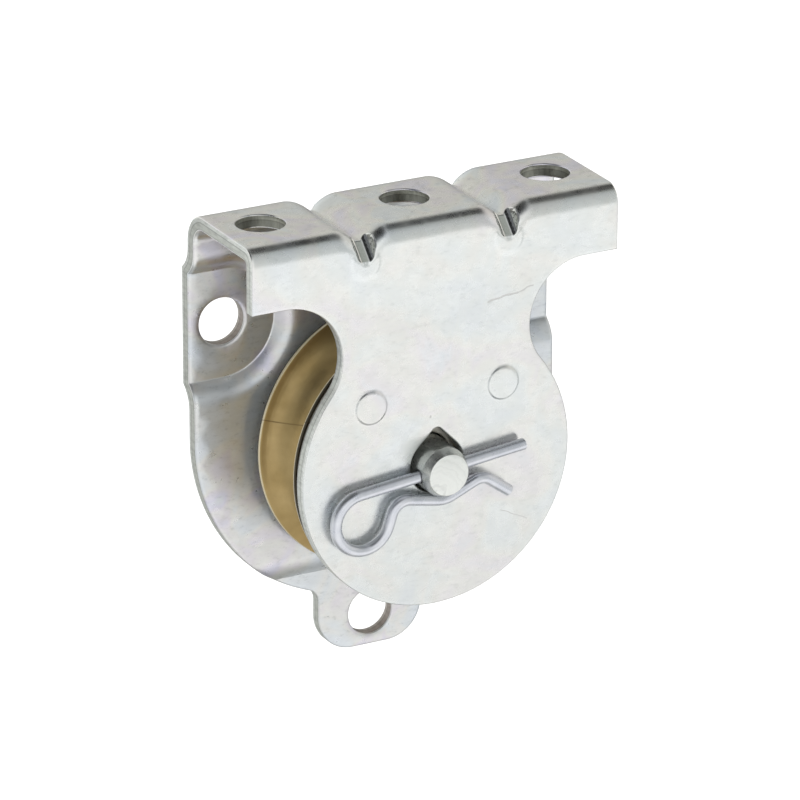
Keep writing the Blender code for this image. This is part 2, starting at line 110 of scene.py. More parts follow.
print("white is", linear("#ffffff"), "and mid grey is", [round(c, 3) for c in linear("#808080")])

# %% [markdown]
# The camera stands in front of the pulley, to its left and a little above, with a long lens. Its
# place comes from a fit to the photograph, and it turns by a hair about its own axis.

# %% Camera
WALL_Y = 20.76 * MM                 # front plate's face to the wall
PLATE_CENTRE_Z = 22.9 * MM          # centre of the round front plate above the origin
AZIMUTH = math.radians(-28.167)
ELEVATION = math.radians(21.631)
ROLL = math.radians(0.144)
DISTANCE = 851.07 * MM
LENS = 292.07                       # focal length, in millimetres as Blender takes it
PLATE_CENTRE = Vector((0, -WALL_Y, PLATE_CENTRE_Z))
TARGET = PLATE_CENTRE + Vector((-5.561, 0, 10.198)) * MM

back = Vector((math.sin(AZIMUTH) * math.cos(ELEVATION),
               -math.cos(AZIMUTH) * math.cos(ELEVATION),
               math.sin(ELEVATION)))
level = Vector((math.cos(AZIMUTH), math.sin(AZIMUTH), 0))
upright = back.cross(level)
rightward = level * math.cos(ROLL) + upright * math.sin(ROLL)
camera = bpy.data.objects.new("camera", bpy.data.cameras.new("camera"))
camera.data.lens = LENS
camera.data.sensor_width = 36
camera.data.clip_start = 0.05
camera.data.clip_end = 50
turned_axes = Matrix((rightward, back.cross(rightward), back)).transposed().to_4x4()
camera.matrix_world = Matrix.Translation(TARGET + back * DISTANCE) @ turned_axes
bpy.context.scene.collection.objects.link(camera)
bpy.context.scene.camera = camera
bpy.context.scene.view_settings.view_transform = "Standard"
print("camera at", [round(v, 3) for v in camera.location], "m")

# %% [markdown]
# Bright metal has hardly any colour of its own: it shows the studio. So the studio is drawn in the
# world as soft panels round the object. Each panel is an arc from the floor in front, over the top and
# down behind. It is bright at the front, where a large soft panel stands, dark where the panels leave
# a gap overhead, and grey behind. Five such arcs stand side by side, from the far left to the far
# right. Area lamps could stand there instead, but every panel drawn here runs softly into the next.
# The camera itself sees plain white.

# %% Studio
PANEL_POWER = 1.16
world = bpy.data.worlds.new("studio")
bpy.context.scene.world = world
world.use_nodes = True
sky = world.node_tree
sky.nodes.clear()
direction = add(sky, "TexCoord", output="Generated")
sideways, backward, upward = [add(sky, "SeparateXYZ", [direction], axis) for axis in "XYZ"]
forward = add(sky, "Math", [backward, -1.0], operation="MULTIPLY")
arc_angle = add(sky, "Math", [upward, forward], operation="ARCTAN2")
arc_share = add(sky, "MapRange", [arc_angle, -math.pi, math.pi])


def panels(stops):
    """One arc of the studio, from (degrees, colour) stops: 0 is level in front, 90 straight up."""
    return add(sky, "ValToRGB", [arc_share],
               stops=[((degrees + 180) / 360, colour) for degrees, colour in stops])


def blend(low, high, start, end):
    """Goes over from one arc to the next between two places from left to right."""
    share = add(sky, "MapRange", [sideways, start, end], interpolation_type="SMOOTHSTEP")
    return add(sky, "Mix", {0: share, 6: low, 7: high}, 2, data_type="RGBA")


far_left = panels([(-180, "#f8f9f6"), (-130, "#f2f2f2"), (-90, "#e0e2e3"), (-10, "#d6d8da"),
                   (34, "#b4b6b8"), (60, "#5c5e62"), (102, "#5c5e62"), (126, "#d8d9d6"),
                   (180, "#f8f9f6")])
left = panels([(-180, "#f0f2ef"), (-146, "#eceeeb"), (-118, "#a5a6a3"), (-84, "#9c9d9a"),
               (-60, "#fafafa"), (-10, "#fdfdfd"), (30, "#f0f2f2"), (48, "#5c6066"),
               (66, "#08090b"), (108, "#0a0a0b"), (122, "#c0c0bc"), (150, "#cccbc4"),
               (180, "#f0f2ef")])
middle = panels([(-180, "#d0d2cf"), (-146, "#c4c6c4"), (-116, "#969794"), (-86, "#949592"),
                 (-60, "#ffffff"), (-10, "#f4f4f4"), (30, "#dcdee0"), (66, "#b0b2b4"),
                 (86, "#8c8e90"), (106, "#a0a2a2"), (124, "#bcbcb8"), (150, "#cccbc4"),
                 (180, "#d0d2cf")])
right = panels([(-180, "#a4a4a2"), (-156, "#54565a"), (-136, "#7c7e80"), (-114, "#868784"),
                (-86, "#8c8d8b"), (-60, "#ffffff"), (-22, "#ffffff"), (-12, "#c6c8c7"),
                (10, "#b9bcbb"), (44, "#b0b3b4"), (60, "#a4a8aa"), (68, "#90948f"),
                (74, "#3c3e40"), (79, "#030304"), (112, "#040405"), (127, "#b8b7b2"),
                (150, "#cccbc4"), (180, "#a4a4a2")])
far_right = panels([(-180, "#2c2e30"), (-120, "#46484a"), (-70, "#c8caca"), (-20, "#e4e6e6"),
                    (50, "#dcdad6"), (100, "#d4d1cc"), (140, "#d0cdc6"), (165, "#707070"),
                    (180, "#2c2e30")])
surround = far_left
for panel, start, end in [(left, -0.72, -0.58), (middle, 0.10, 0.16), (right, 0.27, 0.34),
                          (far_right, 0.60, 0.76)]:
    surround = blend(surround, panel, start, end)
to_camera = add(sky, "LightPath", output="Is Camera Ray")
seen = add(sky, "Mix", {0: to_camera, 6: surround, 7: linear("#ffffff")}, 2, data_type="RGBA")
power = add(sky, "MapRange", [to_camera, 0.0, 1.0, PANEL_POWER, 1.0])
glow = add(sky, "Background", {"Color": seen, "Strength": power})
add(sky, "OutputWorld", {"Surface": glow})
print("five arcs of studio panels drawn")

# %% [markdown]
# The floor is a pale sheet well below the pulley, which hangs on its wall. It takes the object's soft
# shadow, and to the camera it glows just enough to run into the white background.

# %% Floor
FLOOR_DROP = 120 * MM
FLOOR_HALF = 3.0


def paper_sweep(tree):
    """Matt white paper that glows toward the camera, and is clear when seen from below."""
    matt = add(tree, "BsdfDiffuse", {"Color": linear("#f2f2f0")})
    seen_by = add(tree, "LightPath", output="Is Camera Ray")
    fill = add(tree, "Emission", {"Color": linear("#ffffff"), "Strength": seen_by})
    lit = add(tree, "AddShader", [matt, fill])
    below = add(tree, "NewGeometry", output="Backfacing")
    return add(tree, "MixShader", [below, lit, add(tree, "BsdfTransparent")])


floor_z = cad_box[0][2] - FLOOR_DROP
floor_mesh = bpy.data.meshes.new("floor")
floor_corners = [(-1, -1), (1, -1), (1, 1), (-1, 1)]
floor_mesh.from_pydata([(x * FLOOR_HALF, y * FLOOR_HALF, floor_z) for x, y in floor_corners], [],
                       [(0, 1, 2, 3)])
floor_mesh.materials.append(material("white_paper_sweep", paper_sweep))
floor = bpy.data.objects.new("floor", floor_mesh)
bpy.context.scene.collection.objects.link(floor)
floor.visible_glossy = False
print("floor at", round(floor_z / MM, 1), "mm")

# %% [markdown]
# Bright zinc plate is steel that was coated with zinc in an electric bath and then sealed with a
# clear film. Zinc gives a cold, light grey, and its fine crystals leave it a little milky, so that it
# mirrors close things as a blur. The film is thinner in one place and thicker in another, which tints
# it blue, straw and lilac in soft patches: hardly on the rubbed front, where they are 9 mm wide, and
# more on the flange and inside, where they are 7 mm. Rolling marks 0.6 mm thick are drawn out across
# the strip, and a shallow bump carries the grain of the sheet, drawn as coarse as 0.35 mm so that it
# shows. A picture wrapped round the bracket would stretch at its bends, so every pattern is noise
# that fills the space the bracket stands in. The front has a few scratches, which waver a little.
# Where the press tool rubbed hardest, in the gussets, it burnished the plate: the mesh says where, as
# the attribute burnished.

# %% Scratches
def stroke(tree, flat_place, start, end, width):
    """How much of a straight mark covers a place: 1 on its line, 0 past its width."""
    run = end - start
    offset = add(tree, "VectorMath", [flat_place, start], operation="SUBTRACT")
    share = add(tree, "VectorMath", [offset, run / run.length_squared], "Value", operation="DOT_PRODUCT")
    held = add(tree, "MapRange", [share, 0.0, 1.0, 0.0, 1.0])
    reached = add(tree, "VectorMath", {0: run, "Scale": held}, operation="SCALE")
    gap = add(tree, "VectorMath", [offset, reached], "Value", operation="DISTANCE")
    return add(tree, "MapRange", [gap, 0.3 * width, width, 1.0, 0.0])


# Ends of each scratch as (x, z) from the plate's centre, and its width, in millimetres
SCRATCHES = [
    ((8.0, 22.0), (12.4, 22.75), 0.2),
    ((12.4, 22.75), (14.8, 23.25), 0.14),
    ((10.0, -8.0), (14.1, -9.8), 0.08),
    ((-0.7, 7.3), (-0.6, 7.45), 0.16),
]


def scratches(tree, place, from_centre, depth):
    """How much the front plate's scratches cover a place."""
    wobble = add(tree, "TexNoise", {"Vector": place, "Scale": 1 / (2 * MM)}, "Color")
    shift = add(tree, "VectorMath", {0: wobble, "Scale": 0.8 * MM}, operation="SCALE")
    shaken = add(tree, "VectorMath", [from_centre, shift])
    flat = add(tree, "VectorMath", [shaken, (1, 0, 1)], operation="MULTIPLY")
    covered = 0.0
    for (x0, z0), (x1, z1), width in SCRATCHES:
        mark = stroke(tree, flat, Vector((x0, 0, z0)) * MM, Vector((x1, 0, z1)) * MM, width * MM)
        covered = add(tree, "Math", [mark, covered], operation="MAXIMUM")
    on_front = add(tree, "MapRange", [depth, 0.2 * MM, 0.5 * MM, 1.0, 0.0])
    return add(tree, "Math", [covered, on_front], operation="MULTIPLY")


print(len(SCRATCHES), "scratches on the front plate")

# %% Colour of the zinc
FRONT_SKIN = 1.2 * MM               # how deep the front's finish goes before the inside's takes over


def bracket_place(tree):
    """A place, the same from the plate's centre, its depth behind the front face and its height."""
    place = add(tree, "TexCoord", output="Object")
    from_centre = add(tree, "VectorMath", [place, PLATE_CENTRE], operation="SUBTRACT")
    depth = add(tree, "SeparateXYZ", [from_centre], "Y")
    height = add(tree, "SeparateXYZ", [from_centre], "Z")
    return place, from_centre, depth, height


def zinc_colour(tree, place, height, inside):
    """The zinc's colour: the film's tints, darker toward the bottom of the front, with rolling marks."""
    drift = add(tree, "TexNoise", {"Vector": place, "Scale": 1 / (9 * MM), "Detail": 3.0,
                                   "Distortion": 0.6})
    rubbed = add(tree, "ValToRGB", [drift], stops=[
        (0.32, "#e9edee"), (0.45, "#ecefed"), (0.54, "#eeeeea"), (0.62, "#edebec"), (0.72, "#e9edf0")])
    # the front is darker toward the bottom, by up to 9 per cent, as a ramp by height
    lower_and_handled = add(tree, "MapRange", [height, 10 * MM, -20 * MM, 0.0, 0.09])
    front = add(tree, "Mix", {0: lower_and_handled, 6: rubbed, 7: linear("#000000")}, 2, data_type="RGBA")
    patches = add(tree, "TexNoise", {"Vector": place, "Scale": 1 / (7 * MM), "Distortion": 0.8})
    film = add(tree, "ValToRGB", [patches], stops=[
        (0.30, "#e3e9f0"), (0.42, "#e9edef"), (0.50, "#eeeeeb"), (0.57, "#ebe8ec"),
        (0.66, "#e4e3f0"), (0.76, "#e9eef2")])
    tint = add(tree, "Mix", {0: inside, 6: front, 7: film}, 2, data_type="RGBA")
    drawn_out = add(tree, "Mapping", {"Vector": place, "Scale": (1 / 2, 1 / 2, 1)})
    marks = add(tree, "TexNoise", {"Vector": drawn_out, "Scale": 1 / (0.6 * MM), "Detail": 4.0,
                                   "Roughness": 0.7})
    shade = add(tree, "ValToRGB", [marks], stops=[(0.30, "#e2e3e3"), (0.44, "#f8f8f8"), (0.70, "#ffffff")])
    strength = add(tree, "MapRange", [inside, 0.0, 1.0, 0.45, 0.9])
    return add(tree, "Mix", {0: strength, 6: tint, 7: shade}, 2, data_type="RGBA", blend_type="MULTIPLY")


print("the front's finish goes", round(FRONT_SKIN / MM, 1), "mm deep")

# %% Zinc plate
def zinc_plate(tree):
    """Zinc plate that is milkier, rougher and more tinted the further inside it lies."""
    place, from_centre, depth, height = bracket_place(tree)
    burnish = add(tree, "Attribute", output="Fac", attribute_name="burnished")
    inside = add(tree, "MapRange", [depth, FRONT_SKIN, 2 * FRONT_SKIN])
    scratched = scratches(tree, place, from_centre, depth)
    plain = zinc_colour(tree, place, height, inside)
    marked = add(tree, "Mix", {0: scratched, 6: plain, 7: linear("#d2d2d0")}, 2, data_type="RGBA")
    colour = add(tree, "Mix", {0: burnish, 6: marked, 7: linear("#f4f5f1")}, 2, data_type="RGBA")

    hidden = add(tree, "MapRange", [depth, 3 * MM, 9 * MM, 0.35, 1.0])
    low = add(tree, "MapRange", [height, 26 * MM, 22 * MM, 0.15, 1.0])
    unrubbed = add(tree, "Math", [hidden, low], operation="MULTIPLY")
    milky = add(tree, "Math", [unrubbed, burnish], operation="SUBTRACT", use_clamp=True)
    metallic = add(tree, "MapRange", [milky, 0.0, 1.0, 0.95, 0.68])

    crystals = add(tree, "TexNoise", {"Vector": place, "Scale": 1 / (2 * MM), "Detail": 4.0})
    rough = add(tree, "MapRange", [crystals, 0.3, 0.7, 0.22, 0.34])
    bloom = add(tree, "MapRange", [depth, 12 * MM, 15 * MM, 0.0, 0.04])
    rough = add(tree, "Math", [rough, bloom], operation="ADD")
    shine = add(tree, "MapRange", [burnish, 0.0, 1.0, 1.0, 0.4])
    rough = add(tree, "Math", [rough, shine], operation="MULTIPLY")
    grain = add(tree, "TexNoise", {"Vector": place, "Scale": 1 / (0.35 * MM), "Detail": 3.0,
                                   "Roughness": 0.6})
    relief = add(tree, "Math", [grain, scratched], operation="SUBTRACT")
    coarse = add(tree, "MapRange", [inside, 0.0, 1.0, 0.18, 0.08])
    bump = add(tree, "Bump", {"Height": relief, "Strength": coarse, "Distance": 0.03 * MM})
    return add(tree, "BsdfPrincipled", {"Base Color": colour, "Metallic": metallic, "Roughness": rough,
                                        "Normal": bump})


zinc = material("bright_zinc_plate", zinc_plate)

# %% [markdown]
# The cut edge of the sheet was sheared by a punch before plating. The punch burnishes the first third
# of the sheet to a bright band and tears the rest, which stays duller, with a darker line between.
# The share of the sheet's thickness comes from the mesh, as the attribute through_sheet. The walls of
# the screw holes were torn further, and stay dark and streaked along the punch's way. Toward the back
# the edges are painted darker, as painted shade where they lie deep inside the bracket.

# %% Sheared edges
def sheared_edge(tree, burnished, line, torn, roughness, stretch):
    """A cut wall's bands, from its outside in: the burnished one, a darker line and the torn one."""
    place, _, depth, _ = bracket_place(tree)
    through = add(tree, "Attribute", output="Fac", attribute_name="through_sheet")
    band = add(tree, "ValToRGB", [through], stops=[
        (0.0, burnished), (0.30, burnished), (0.38, line), (0.46, torn), (0.86, torn), (1.0, line)])
    drawn_out = add(tree, "Mapping", {"Vector": place, "Scale": [1 / share for share in stretch]})
    streaks = add(tree, "TexNoise", {"Vector": drawn_out, "Scale": 1 / (0.5 * MM), "Detail": 4.0,
                                     "Roughness": 0.7})
    shade = add(tree, "ValToRGB", [streaks], stops=[(0.34, "#dadada"), (0.58, "#ffffff")])
    streaked = add(tree, "Mix", {0: 1.0, 6: band, 7: shade}, 2, data_type="RGBA", blend_type="MULTIPLY")
    # painted shade: the cut walls are darkened toward the back, where the bracket hides them from the light
    painted_back_shade = add(tree, "MapRange", [depth, 4 * MM, 16 * MM, 0.0, 0.3])
    colour = add(tree, "Mix", {0: painted_back_shade, 6: streaked, 7: linear("#5c5c54")}, 2, data_type="RGBA")
    grain = add(tree, "TexNoise", {"Vector": drawn_out, "Scale": 1 / (0.15 * MM)})
    bump = add(tree, "Bump", {"Height": grain, "Strength": 0.5, "Distance": 0.04 * MM})
    return add(tree, "BsdfPrincipled", {"Base Color": colour, "Metallic": 0.7, "Roughness": roughness,
                                        "Normal": bump})


ALONG_SHEET = (1, 4, 1)             # how far the streaks are drawn out along each axis
DOWN_HOLE = (1, 1, 4)
edge_finish = material("sheared_zinc_edge", sheared_edge, "#e6e9e6", "#9fa29f", "#d4d7d2", 0.36,
                       ALONG_SHEET)
hole_finish = material("torn_zinc_hole_wall", sheared_edge, "#c6c7ba", "#8a8a80", "#a2a398", 0.36,
                       DOWN_HOLE)
clear_hole_finish = material("sheared_zinc_hole_wall", sheared_edge, "#cfc6c2", "#8f8782", "#b3a7a2",
                             0.40, ALONG_SHEET)

# %% [markdown]
# The bracket starts as a flat blank, cut to shape by a punch: a round front plate with a wide band
# above it, the flange, and a back plate with two ears and a tab. It could be carved from a block, but
# a folded sheet has the same thickness everywhere and bends that flow into its beads, so it is made
# as the factory makes it. It is drawn as one outline in the flat. A place on it is (x, s): s is the
# height on the front plate, and then goes on over the flange and down the back, along the outside of
# the sheet.

# %% Sizes of the bracket
SHEET = 2.0 * MM
WIDTH = 54.2 * MM
DEPTH = 19.0 * MM
TOP = 34.55 * MM
FRONT_BEND = 2.4 * MM               # both bends are outer radii
REAR_BEND = 4.6 * MM
HOLE_RISE = 0.3 * MM
AXLE = PLATE_CENTRE - Vector((0, 0, HOLE_RISE))

BAND_BOTTOM = 25.65 * MM
DISC_RADIUS = 19.9 * MM
NECK_FILLET = 8.3 * MM
BOSS_PLACE = 9.85 * MM
BOSS_RADIUS = 2.05 * MM
BOSS_HEIGHT = 0.3 * MM
BOSS_WALL = 0.42 * MM               # the rounded wall round a boss

STEP_BACK = 1.76 * MM
STEP_WIDTH = 3.6 * MM
EAR_PAD_RADIUS = 7.7 * MM
EAR_PAD_Z = 17.6 * MM
ARC_CENTRE_Z = 2.0 * MM
TAB_WIDTH = 15.7 * MM
TAB_BOTTOM = -33.15 * MM
TAB_CORNER = 5.2 * MM
TAB_FILLET = 2.2 * MM
TAB_STEP_TOP = -17.2 * MM
STEP_SHIFT = 0.3                    # how far a step moves across the sheet, for each unit of depth
STEP_CURVE = 2.6                    # above 1, a step starts softly and is steepest at its pad
TAB_CURVE = 1.7                     # the same for the tab's step, which is more even

HOLE_RADIUS = 3.3 * MM
AXLE_HOLE_RADIUS = 3.95 * MM
TEARDROP_TIP = 0.8 * MM
FLANGE_HOLES = [(-21.2 * MM, 9.35 * MM), (0, 9.35 * MM), (21.2 * MM, 9.35 * MM)]
EAR_HOLE_X = 22.2 * MM
BACK_HOLES = [(-EAR_HOLE_X, 17.8 * MM), (EAR_HOLE_X, 17.8 * MM), (0, -28.3 * MM)]

BEAD_X = 10.6 * MM
BEAD_DEPTH = 2.0 * MM
BEAD_HALF_WIDTH = 4.0 * MM
BEAD_FLAT = 0.35 * MM
BEAD_RUN = 6.0 * MM                 # how far down the plates the sheet is drawn in below a bead
FRONT_REACH = 4.25 * MM             # from the folded corner to a gusset's tip
REAR_REACH = 4.9 * MM
GUSSET_HALF_WIDTH = 1.95 * MM
BEAD_SPREAD = 0.45                  # widening of bead and gusset, for each unit of depth
BULGE_RISE = 30.1 * MM              # the front plate bulges a little round the gussets' tips
BULGE_RADIUS = 1.8 * MM
BULGE_WALL = 0.6 * MM
BULGE_HEIGHT = 0.12 * MM

FRONT_BEND_START = TOP - FRONT_BEND
FLANGE_START = FRONT_BEND_START + FRONT_BEND * math.pi / 2
FLANGE_END = FLANGE_START + DEPTH - FRONT_BEND - REAR_BEND
REAR_BEND_END = FLANGE_END + REAR_BEND * math.pi / 2
print("blank is", round((REAR_BEND_END + TOP - REAR_BEND - TAB_BOTTOM + DISC_RADIUS) / MM, 1), "mm long")

# %% Outline and holes of the blank
SPACING = 0.45 * MM


def back_s(z):
    """Place along the blank of a height on the back plate."""
    return REAR_BEND_END + TOP - REAR_BEND - z


def arc(cx, cy, radius, start, end, spacing=SPACING):
    """Points of an arc, both ends included."""
    steps = max(3, math.ceil(abs(end - start) * radius / spacing))
    angles = np.linspace(start, end, steps + 1)
    return np.column_stack([cx + radius * np.cos(angles), cy + radius * np.sin(angles)])


def circle(cx, cy, radius):
    return arc(cx, cy, radius, 0, 2 * math.pi)[:-1]


def front_edge():
    """Right-hand edge of the front plate, from its lowest point up to the band's corner."""
    fillet_z = BAND_BOTTOM - NECK_FILLET
    fillet_x = math.sqrt((DISC_RADIUS + NECK_FILLET) ** 2 - fillet_z ** 2)
    touch = math.atan2(fillet_z, fillet_x)
    disc = arc(0, 0, DISC_RADIUS, -math.pi / 2, touch)
    neck = arc(fillet_x, fillet_z, NECK_FILLET, touch + math.pi, math.pi / 2)
    return np.vstack([disc, neck[1:], [(WIDTH / 2, BAND_BOTTOM)]])


def back_edge():
    """Right-hand edge of the back plate, from the ear down to the middle of the tab's end."""
    half_tab = TAB_WIDTH / 2
    fillet_x = half_tab + TAB_FILLET
    reach = WIDTH / 2 + TAB_FILLET
    fillet_z = ARC_CENTRE_Z - math.sqrt(reach ** 2 - fillet_x ** 2)
    touch = math.atan2(fillet_z - ARC_CENTRE_Z, fillet_x)
    belly = arc(0, ARC_CENTRE_Z, WIDTH / 2, 0, touch)
    fillet = arc(fillet_x, fillet_z, TAB_FILLET, touch + math.pi, math.pi)
    corner = arc(half_tab - TAB_CORNER, TAB_BOTTOM + TAB_CORNER, TAB_CORNER, 0, -math.pi / 2)
    edge = np.vstack([belly, fillet[1:], corner, [(0, TAB_BOTTOM)]])
    return np.column_stack([edge[:, 0], back_s(edge[:, 1])])


def spaced(loop):
    """The same closed loop with long runs split, so that they can follow the bends."""
    points = []
    for here, there in zip(loop, np.roll(loop, -1, axis=0)):
        count = max(1, math.ceil(np.linalg.norm(there - here) / SPACING))
        points += [here + (there - here) * i / count for i in range(count)]
    return np.array(points)


def blank_loops():
    """Outline first, then every hole, each turning so that the metal is on its left."""
    right_side = np.vstack([front_edge(), back_edge()])
    left_side = right_side[-2:0:-1] * (-1, 1)
    tip_z = (AXLE_HOLE_RADIUS - TEARDROP_TIP) * math.sqrt(2)
    teardrop = np.vstack([arc(0, 0, AXLE_HOLE_RADIUS, math.radians(135), math.radians(405)),
                          arc(0, tip_z, TEARDROP_TIP, math.radians(45), math.radians(135), 0.1 * MM)])
    holes = [teardrop, circle(0, back_s(0), AXLE_HOLE_RADIUS)]
    holes += [circle(x, FLANGE_START + y - FRONT_BEND, HOLE_RADIUS) for x, y in FLANGE_HOLES]
    holes += [circle(x, back_s(z), HOLE_RADIUS) for x, z in BACK_HOLES]
    return [spaced(np.vstack([right_side, left_side]))] + [spaced(hole)[::-1] for hole in holes]


loops = blank_loops()
print(len(loops) - 1, "holes,", sum(len(loop) for loop in loops), "points along the cut edges")

# %% [markdown]
# Pressing and folding are one function: it takes a place on the blank, and a depth inside the sheet,
# to its place on the finished bracket. The folds come first. Then the beads, the V-shaped channels
# that stiffen the flange, are pushed down and run off both bends as short slanted gussets. Last, the
# ears and the tab step back to the wall, and two round bosses are half-sheared out to the front.

# %% Fold
def folded(s, depth):
    """Where the plain upside-down U takes a place: (y, z)."""
    front = FRONT_BEND - depth
    rear = REAR_BEND - depth
    front_turn = (s - FRONT_BEND_START) / FRONT_BEND
    rear_turn = (s - FLANGE_END) / REAR_BEND
    zones = [s <= FRONT_BEND_START, s <= FLANGE_START, s <= FLANGE_END, s <= REAR_BEND_END]
    y = np.select(zones, [depth,
                          FRONT_BEND - front * np.cos(front_turn),
                          FRONT_BEND + s - FLANGE_START,
                          DEPTH - REAR_BEND + rear * np.sin(rear_turn)], DEPTH - depth)
    z = np.select(zones, [s,
                          FRONT_BEND_START + front * np.sin(front_turn),
                          TOP - depth,
                          TOP - REAR_BEND + rear * np.cos(rear_turn)],
                  TOP - REAR_BEND - (s - REAR_BEND_END))
    return y, z


print("the rear bend ends", round(REAR_BEND_END / MM, 1), "mm along the blank from the plate's centre")

# %% Beads and gussets
def bead_drop(x, depth):
    """How far a bead lowers the flange at places across the sheet."""
    slope_width = BEAD_HALF_WIDTH + BEAD_SPREAD * depth - BEAD_FLAT
    share = np.maximum(0, np.abs(np.abs(x) - BEAD_X) - BEAD_FLAT) / slope_width
    return BEAD_DEPTH * np.maximum(0, 1 - share) ** 2


def gusset_cut(x, depth, reach):
    """How far in from the folded corner a gusset's slanted face starts."""
    share = np.abs(np.abs(x) - BEAD_X) / (GUSSET_HALF_WIDTH + BEAD_SPREAD * depth)
    return reach * (1 - np.minimum(1, share) ** 4)


def pressed(x, s, y, z, depth):
    """Where the beads and gussets take points of the plain fold: down, and off both corners."""
    past_bends = np.maximum(0, np.maximum(FRONT_BEND_START - s, s - REAR_BEND_END))
    z = z - bead_drop(x, depth) * np.maximum(0, 1 - past_bends / BEAD_RUN)
    slant = depth * math.sqrt(2)
    front = np.maximum(0, gusset_cut(x, depth, FRONT_REACH) + slant - (y + TOP - z)) / 2
    y, z = y + front, z - front
    rear = np.maximum(0, gusset_cut(x, depth, REAR_REACH) + slant - (DEPTH - y + TOP - z)) / 2
    return y - rear, z - rear


print("beads are", round(float(bead_drop(BEAD_X, 0.0)) / MM, 2), "mm deep")

# %% [markdown]
# The steps, the bosses and the bulges are raised shapes: each has a share of 0 on the plain plate and 1
# on its flat, with a slope between. A share that goes as a power starts softly and ends in a crease, as
# round a die, and one that eases at both ends has no crease at all.

# %% Steps, bosses and bulges
def eased(share):
    """A share that leaves 0 and reaches 1 softly."""
    share = np.clip(share, 0, 1)
    return share ** 2 * (3 - 2 * share)


def step_share(x, z, depth):
    """How far a place on the back plate is stepped back: soft at first, with a crease at the pad."""
    shift = STEP_SHIFT * (SHEET - depth)
    from_ear = np.hypot(np.maximum(0, EAR_HOLE_X - np.abs(x)), z - EAR_PAD_Z)
    ear = (EAR_PAD_RADIUS + shift + STEP_WIDTH - from_ear) / STEP_WIDTH
    tab = (TAB_STEP_TOP + shift - z) / STEP_WIDTH
    return np.maximum(np.clip(ear, 0, 1) ** STEP_CURVE, np.clip(tab, 0, 1) ** TAB_CURVE)


def press(x, s, depth):
    """Takes places of the blank to the finished bracket, as an array of points."""
    y, z = folded(s, depth)
    y, z = pressed(x, s, y, z, depth)
    y = y + np.where(s > REAR_BEND_END, STEP_BACK * step_share(x, z, depth), 0)
    from_boss = np.hypot(np.abs(x) - BOSS_PLACE, z - BOSS_PLACE)
    boss = eased((BOSS_RADIUS + BOSS_WALL - from_boss) / BOSS_WALL)
    from_tip = np.hypot(np.abs(x) - BEAD_X, z - BULGE_RISE)
    bulge = np.clip((BULGE_RADIUS + BULGE_WALL - from_tip) / BULGE_WALL, 0, 1)
    bulge = eased(bulge * np.clip((FRONT_BEND_START - s) / BULGE_WALL, 0, 1))
    y = y - np.where(s < FRONT_BEND_START, BOSS_HEIGHT * boss + BULGE_HEIGHT * bulge, 0)
    return np.column_stack([x, y, z]) + PLATE_CENTRE


print("the flange's front edge is at", (press(np.zeros(1), np.array([FLANGE_START]), 0.0) / MM).round(2))

# %% [markdown]
# The press leaves crisp creases: round the gussets' slanted faces, along the beads' bottoms, and where
# the pads of the ears and the tab begin. A crease on the outside of the sheet lies elsewhere than the
# one on its inside. Each is drawn on the blank as a line, with a twin close by on either side, so that
# the shading turns there as it does over a small radius.

# %% Creases of the gussets
CREASE = 0.14 * MM                  # from a crease to its twins
LINE_STEP = 0.3 * MM
GUSSET_POINTS = 31
GUSSET_LINES = 15


def gusset_edge(radius, reach, depth, upper):
    """One crease of a gusset, as (offset, along) points: where its slanted face meets the plate or,
    if upper, the bead. Along is measured on the blank from the start of the bend, up the plate."""
    half_width = GUSSET_HALF_WIDTH + BEAD_SPREAD * depth
    offset = half_width * np.sin(np.linspace(-1.5, 1.5, GUSSET_POINTS))
    drop = bead_drop(BEAD_X + offset, depth)
    inner = gusset_cut(BEAD_X + offset, depth, reach) - drop
    ratio = (2 * radius - inner - depth * math.sqrt(2)) / (radius - depth)
    half_turn = np.arccos(np.clip(ratio / math.sqrt(2), -1, 1))
    past_bend = inner + depth * (math.sqrt(2) - 1) - radius
    if upper:
        along = np.where(ratio > 1, radius * (math.pi / 4 + half_turn), radius * math.pi / 2 + past_bend)
    else:
        along = np.where(ratio > 1, radius * (math.pi / 4 - half_turn),
                         -past_bend / (1 - drop / BEAD_RUN))
    return np.column_stack([offset, along])[ratio < math.sqrt(2)]


def along_lines():
    """Lines along each bead: its bottom's two creases, and close rows up the gussets' steep walls."""
    down_plate, onto_flange = 3 * MM, 2.5 * MM
    ends = [(FRONT_BEND_START - down_plate, FLANGE_START + onto_flange),
            (FLANGE_END - onto_flange, REAR_BEND_END + down_plate)]
    lines = []
    for side in (-1, 1):
        for offset in (-BEAD_FLAT, BEAD_FLAT):
            s = np.arange(FRONT_BEND_START, REAR_BEND_END, LINE_STEP)
            lines.append(np.column_stack([np.full(len(s), side * BEAD_X + offset), s]))
        for start, end in ends:
            s = np.arange(start, end, LINE_STEP)
            for half_width in (GUSSET_HALF_WIDTH, GUSSET_HALF_WIDTH + BEAD_SPREAD * SHEET):
                for offset in half_width * np.sin(np.linspace(-math.pi / 2, math.pi / 2, GUSSET_LINES)):
                    lines.append(np.column_stack([np.full(len(s), side * BEAD_X + offset), s]))
    return lines


bead_lines = along_lines()
print(len(bead_lines), "lines along the beads and gussets")

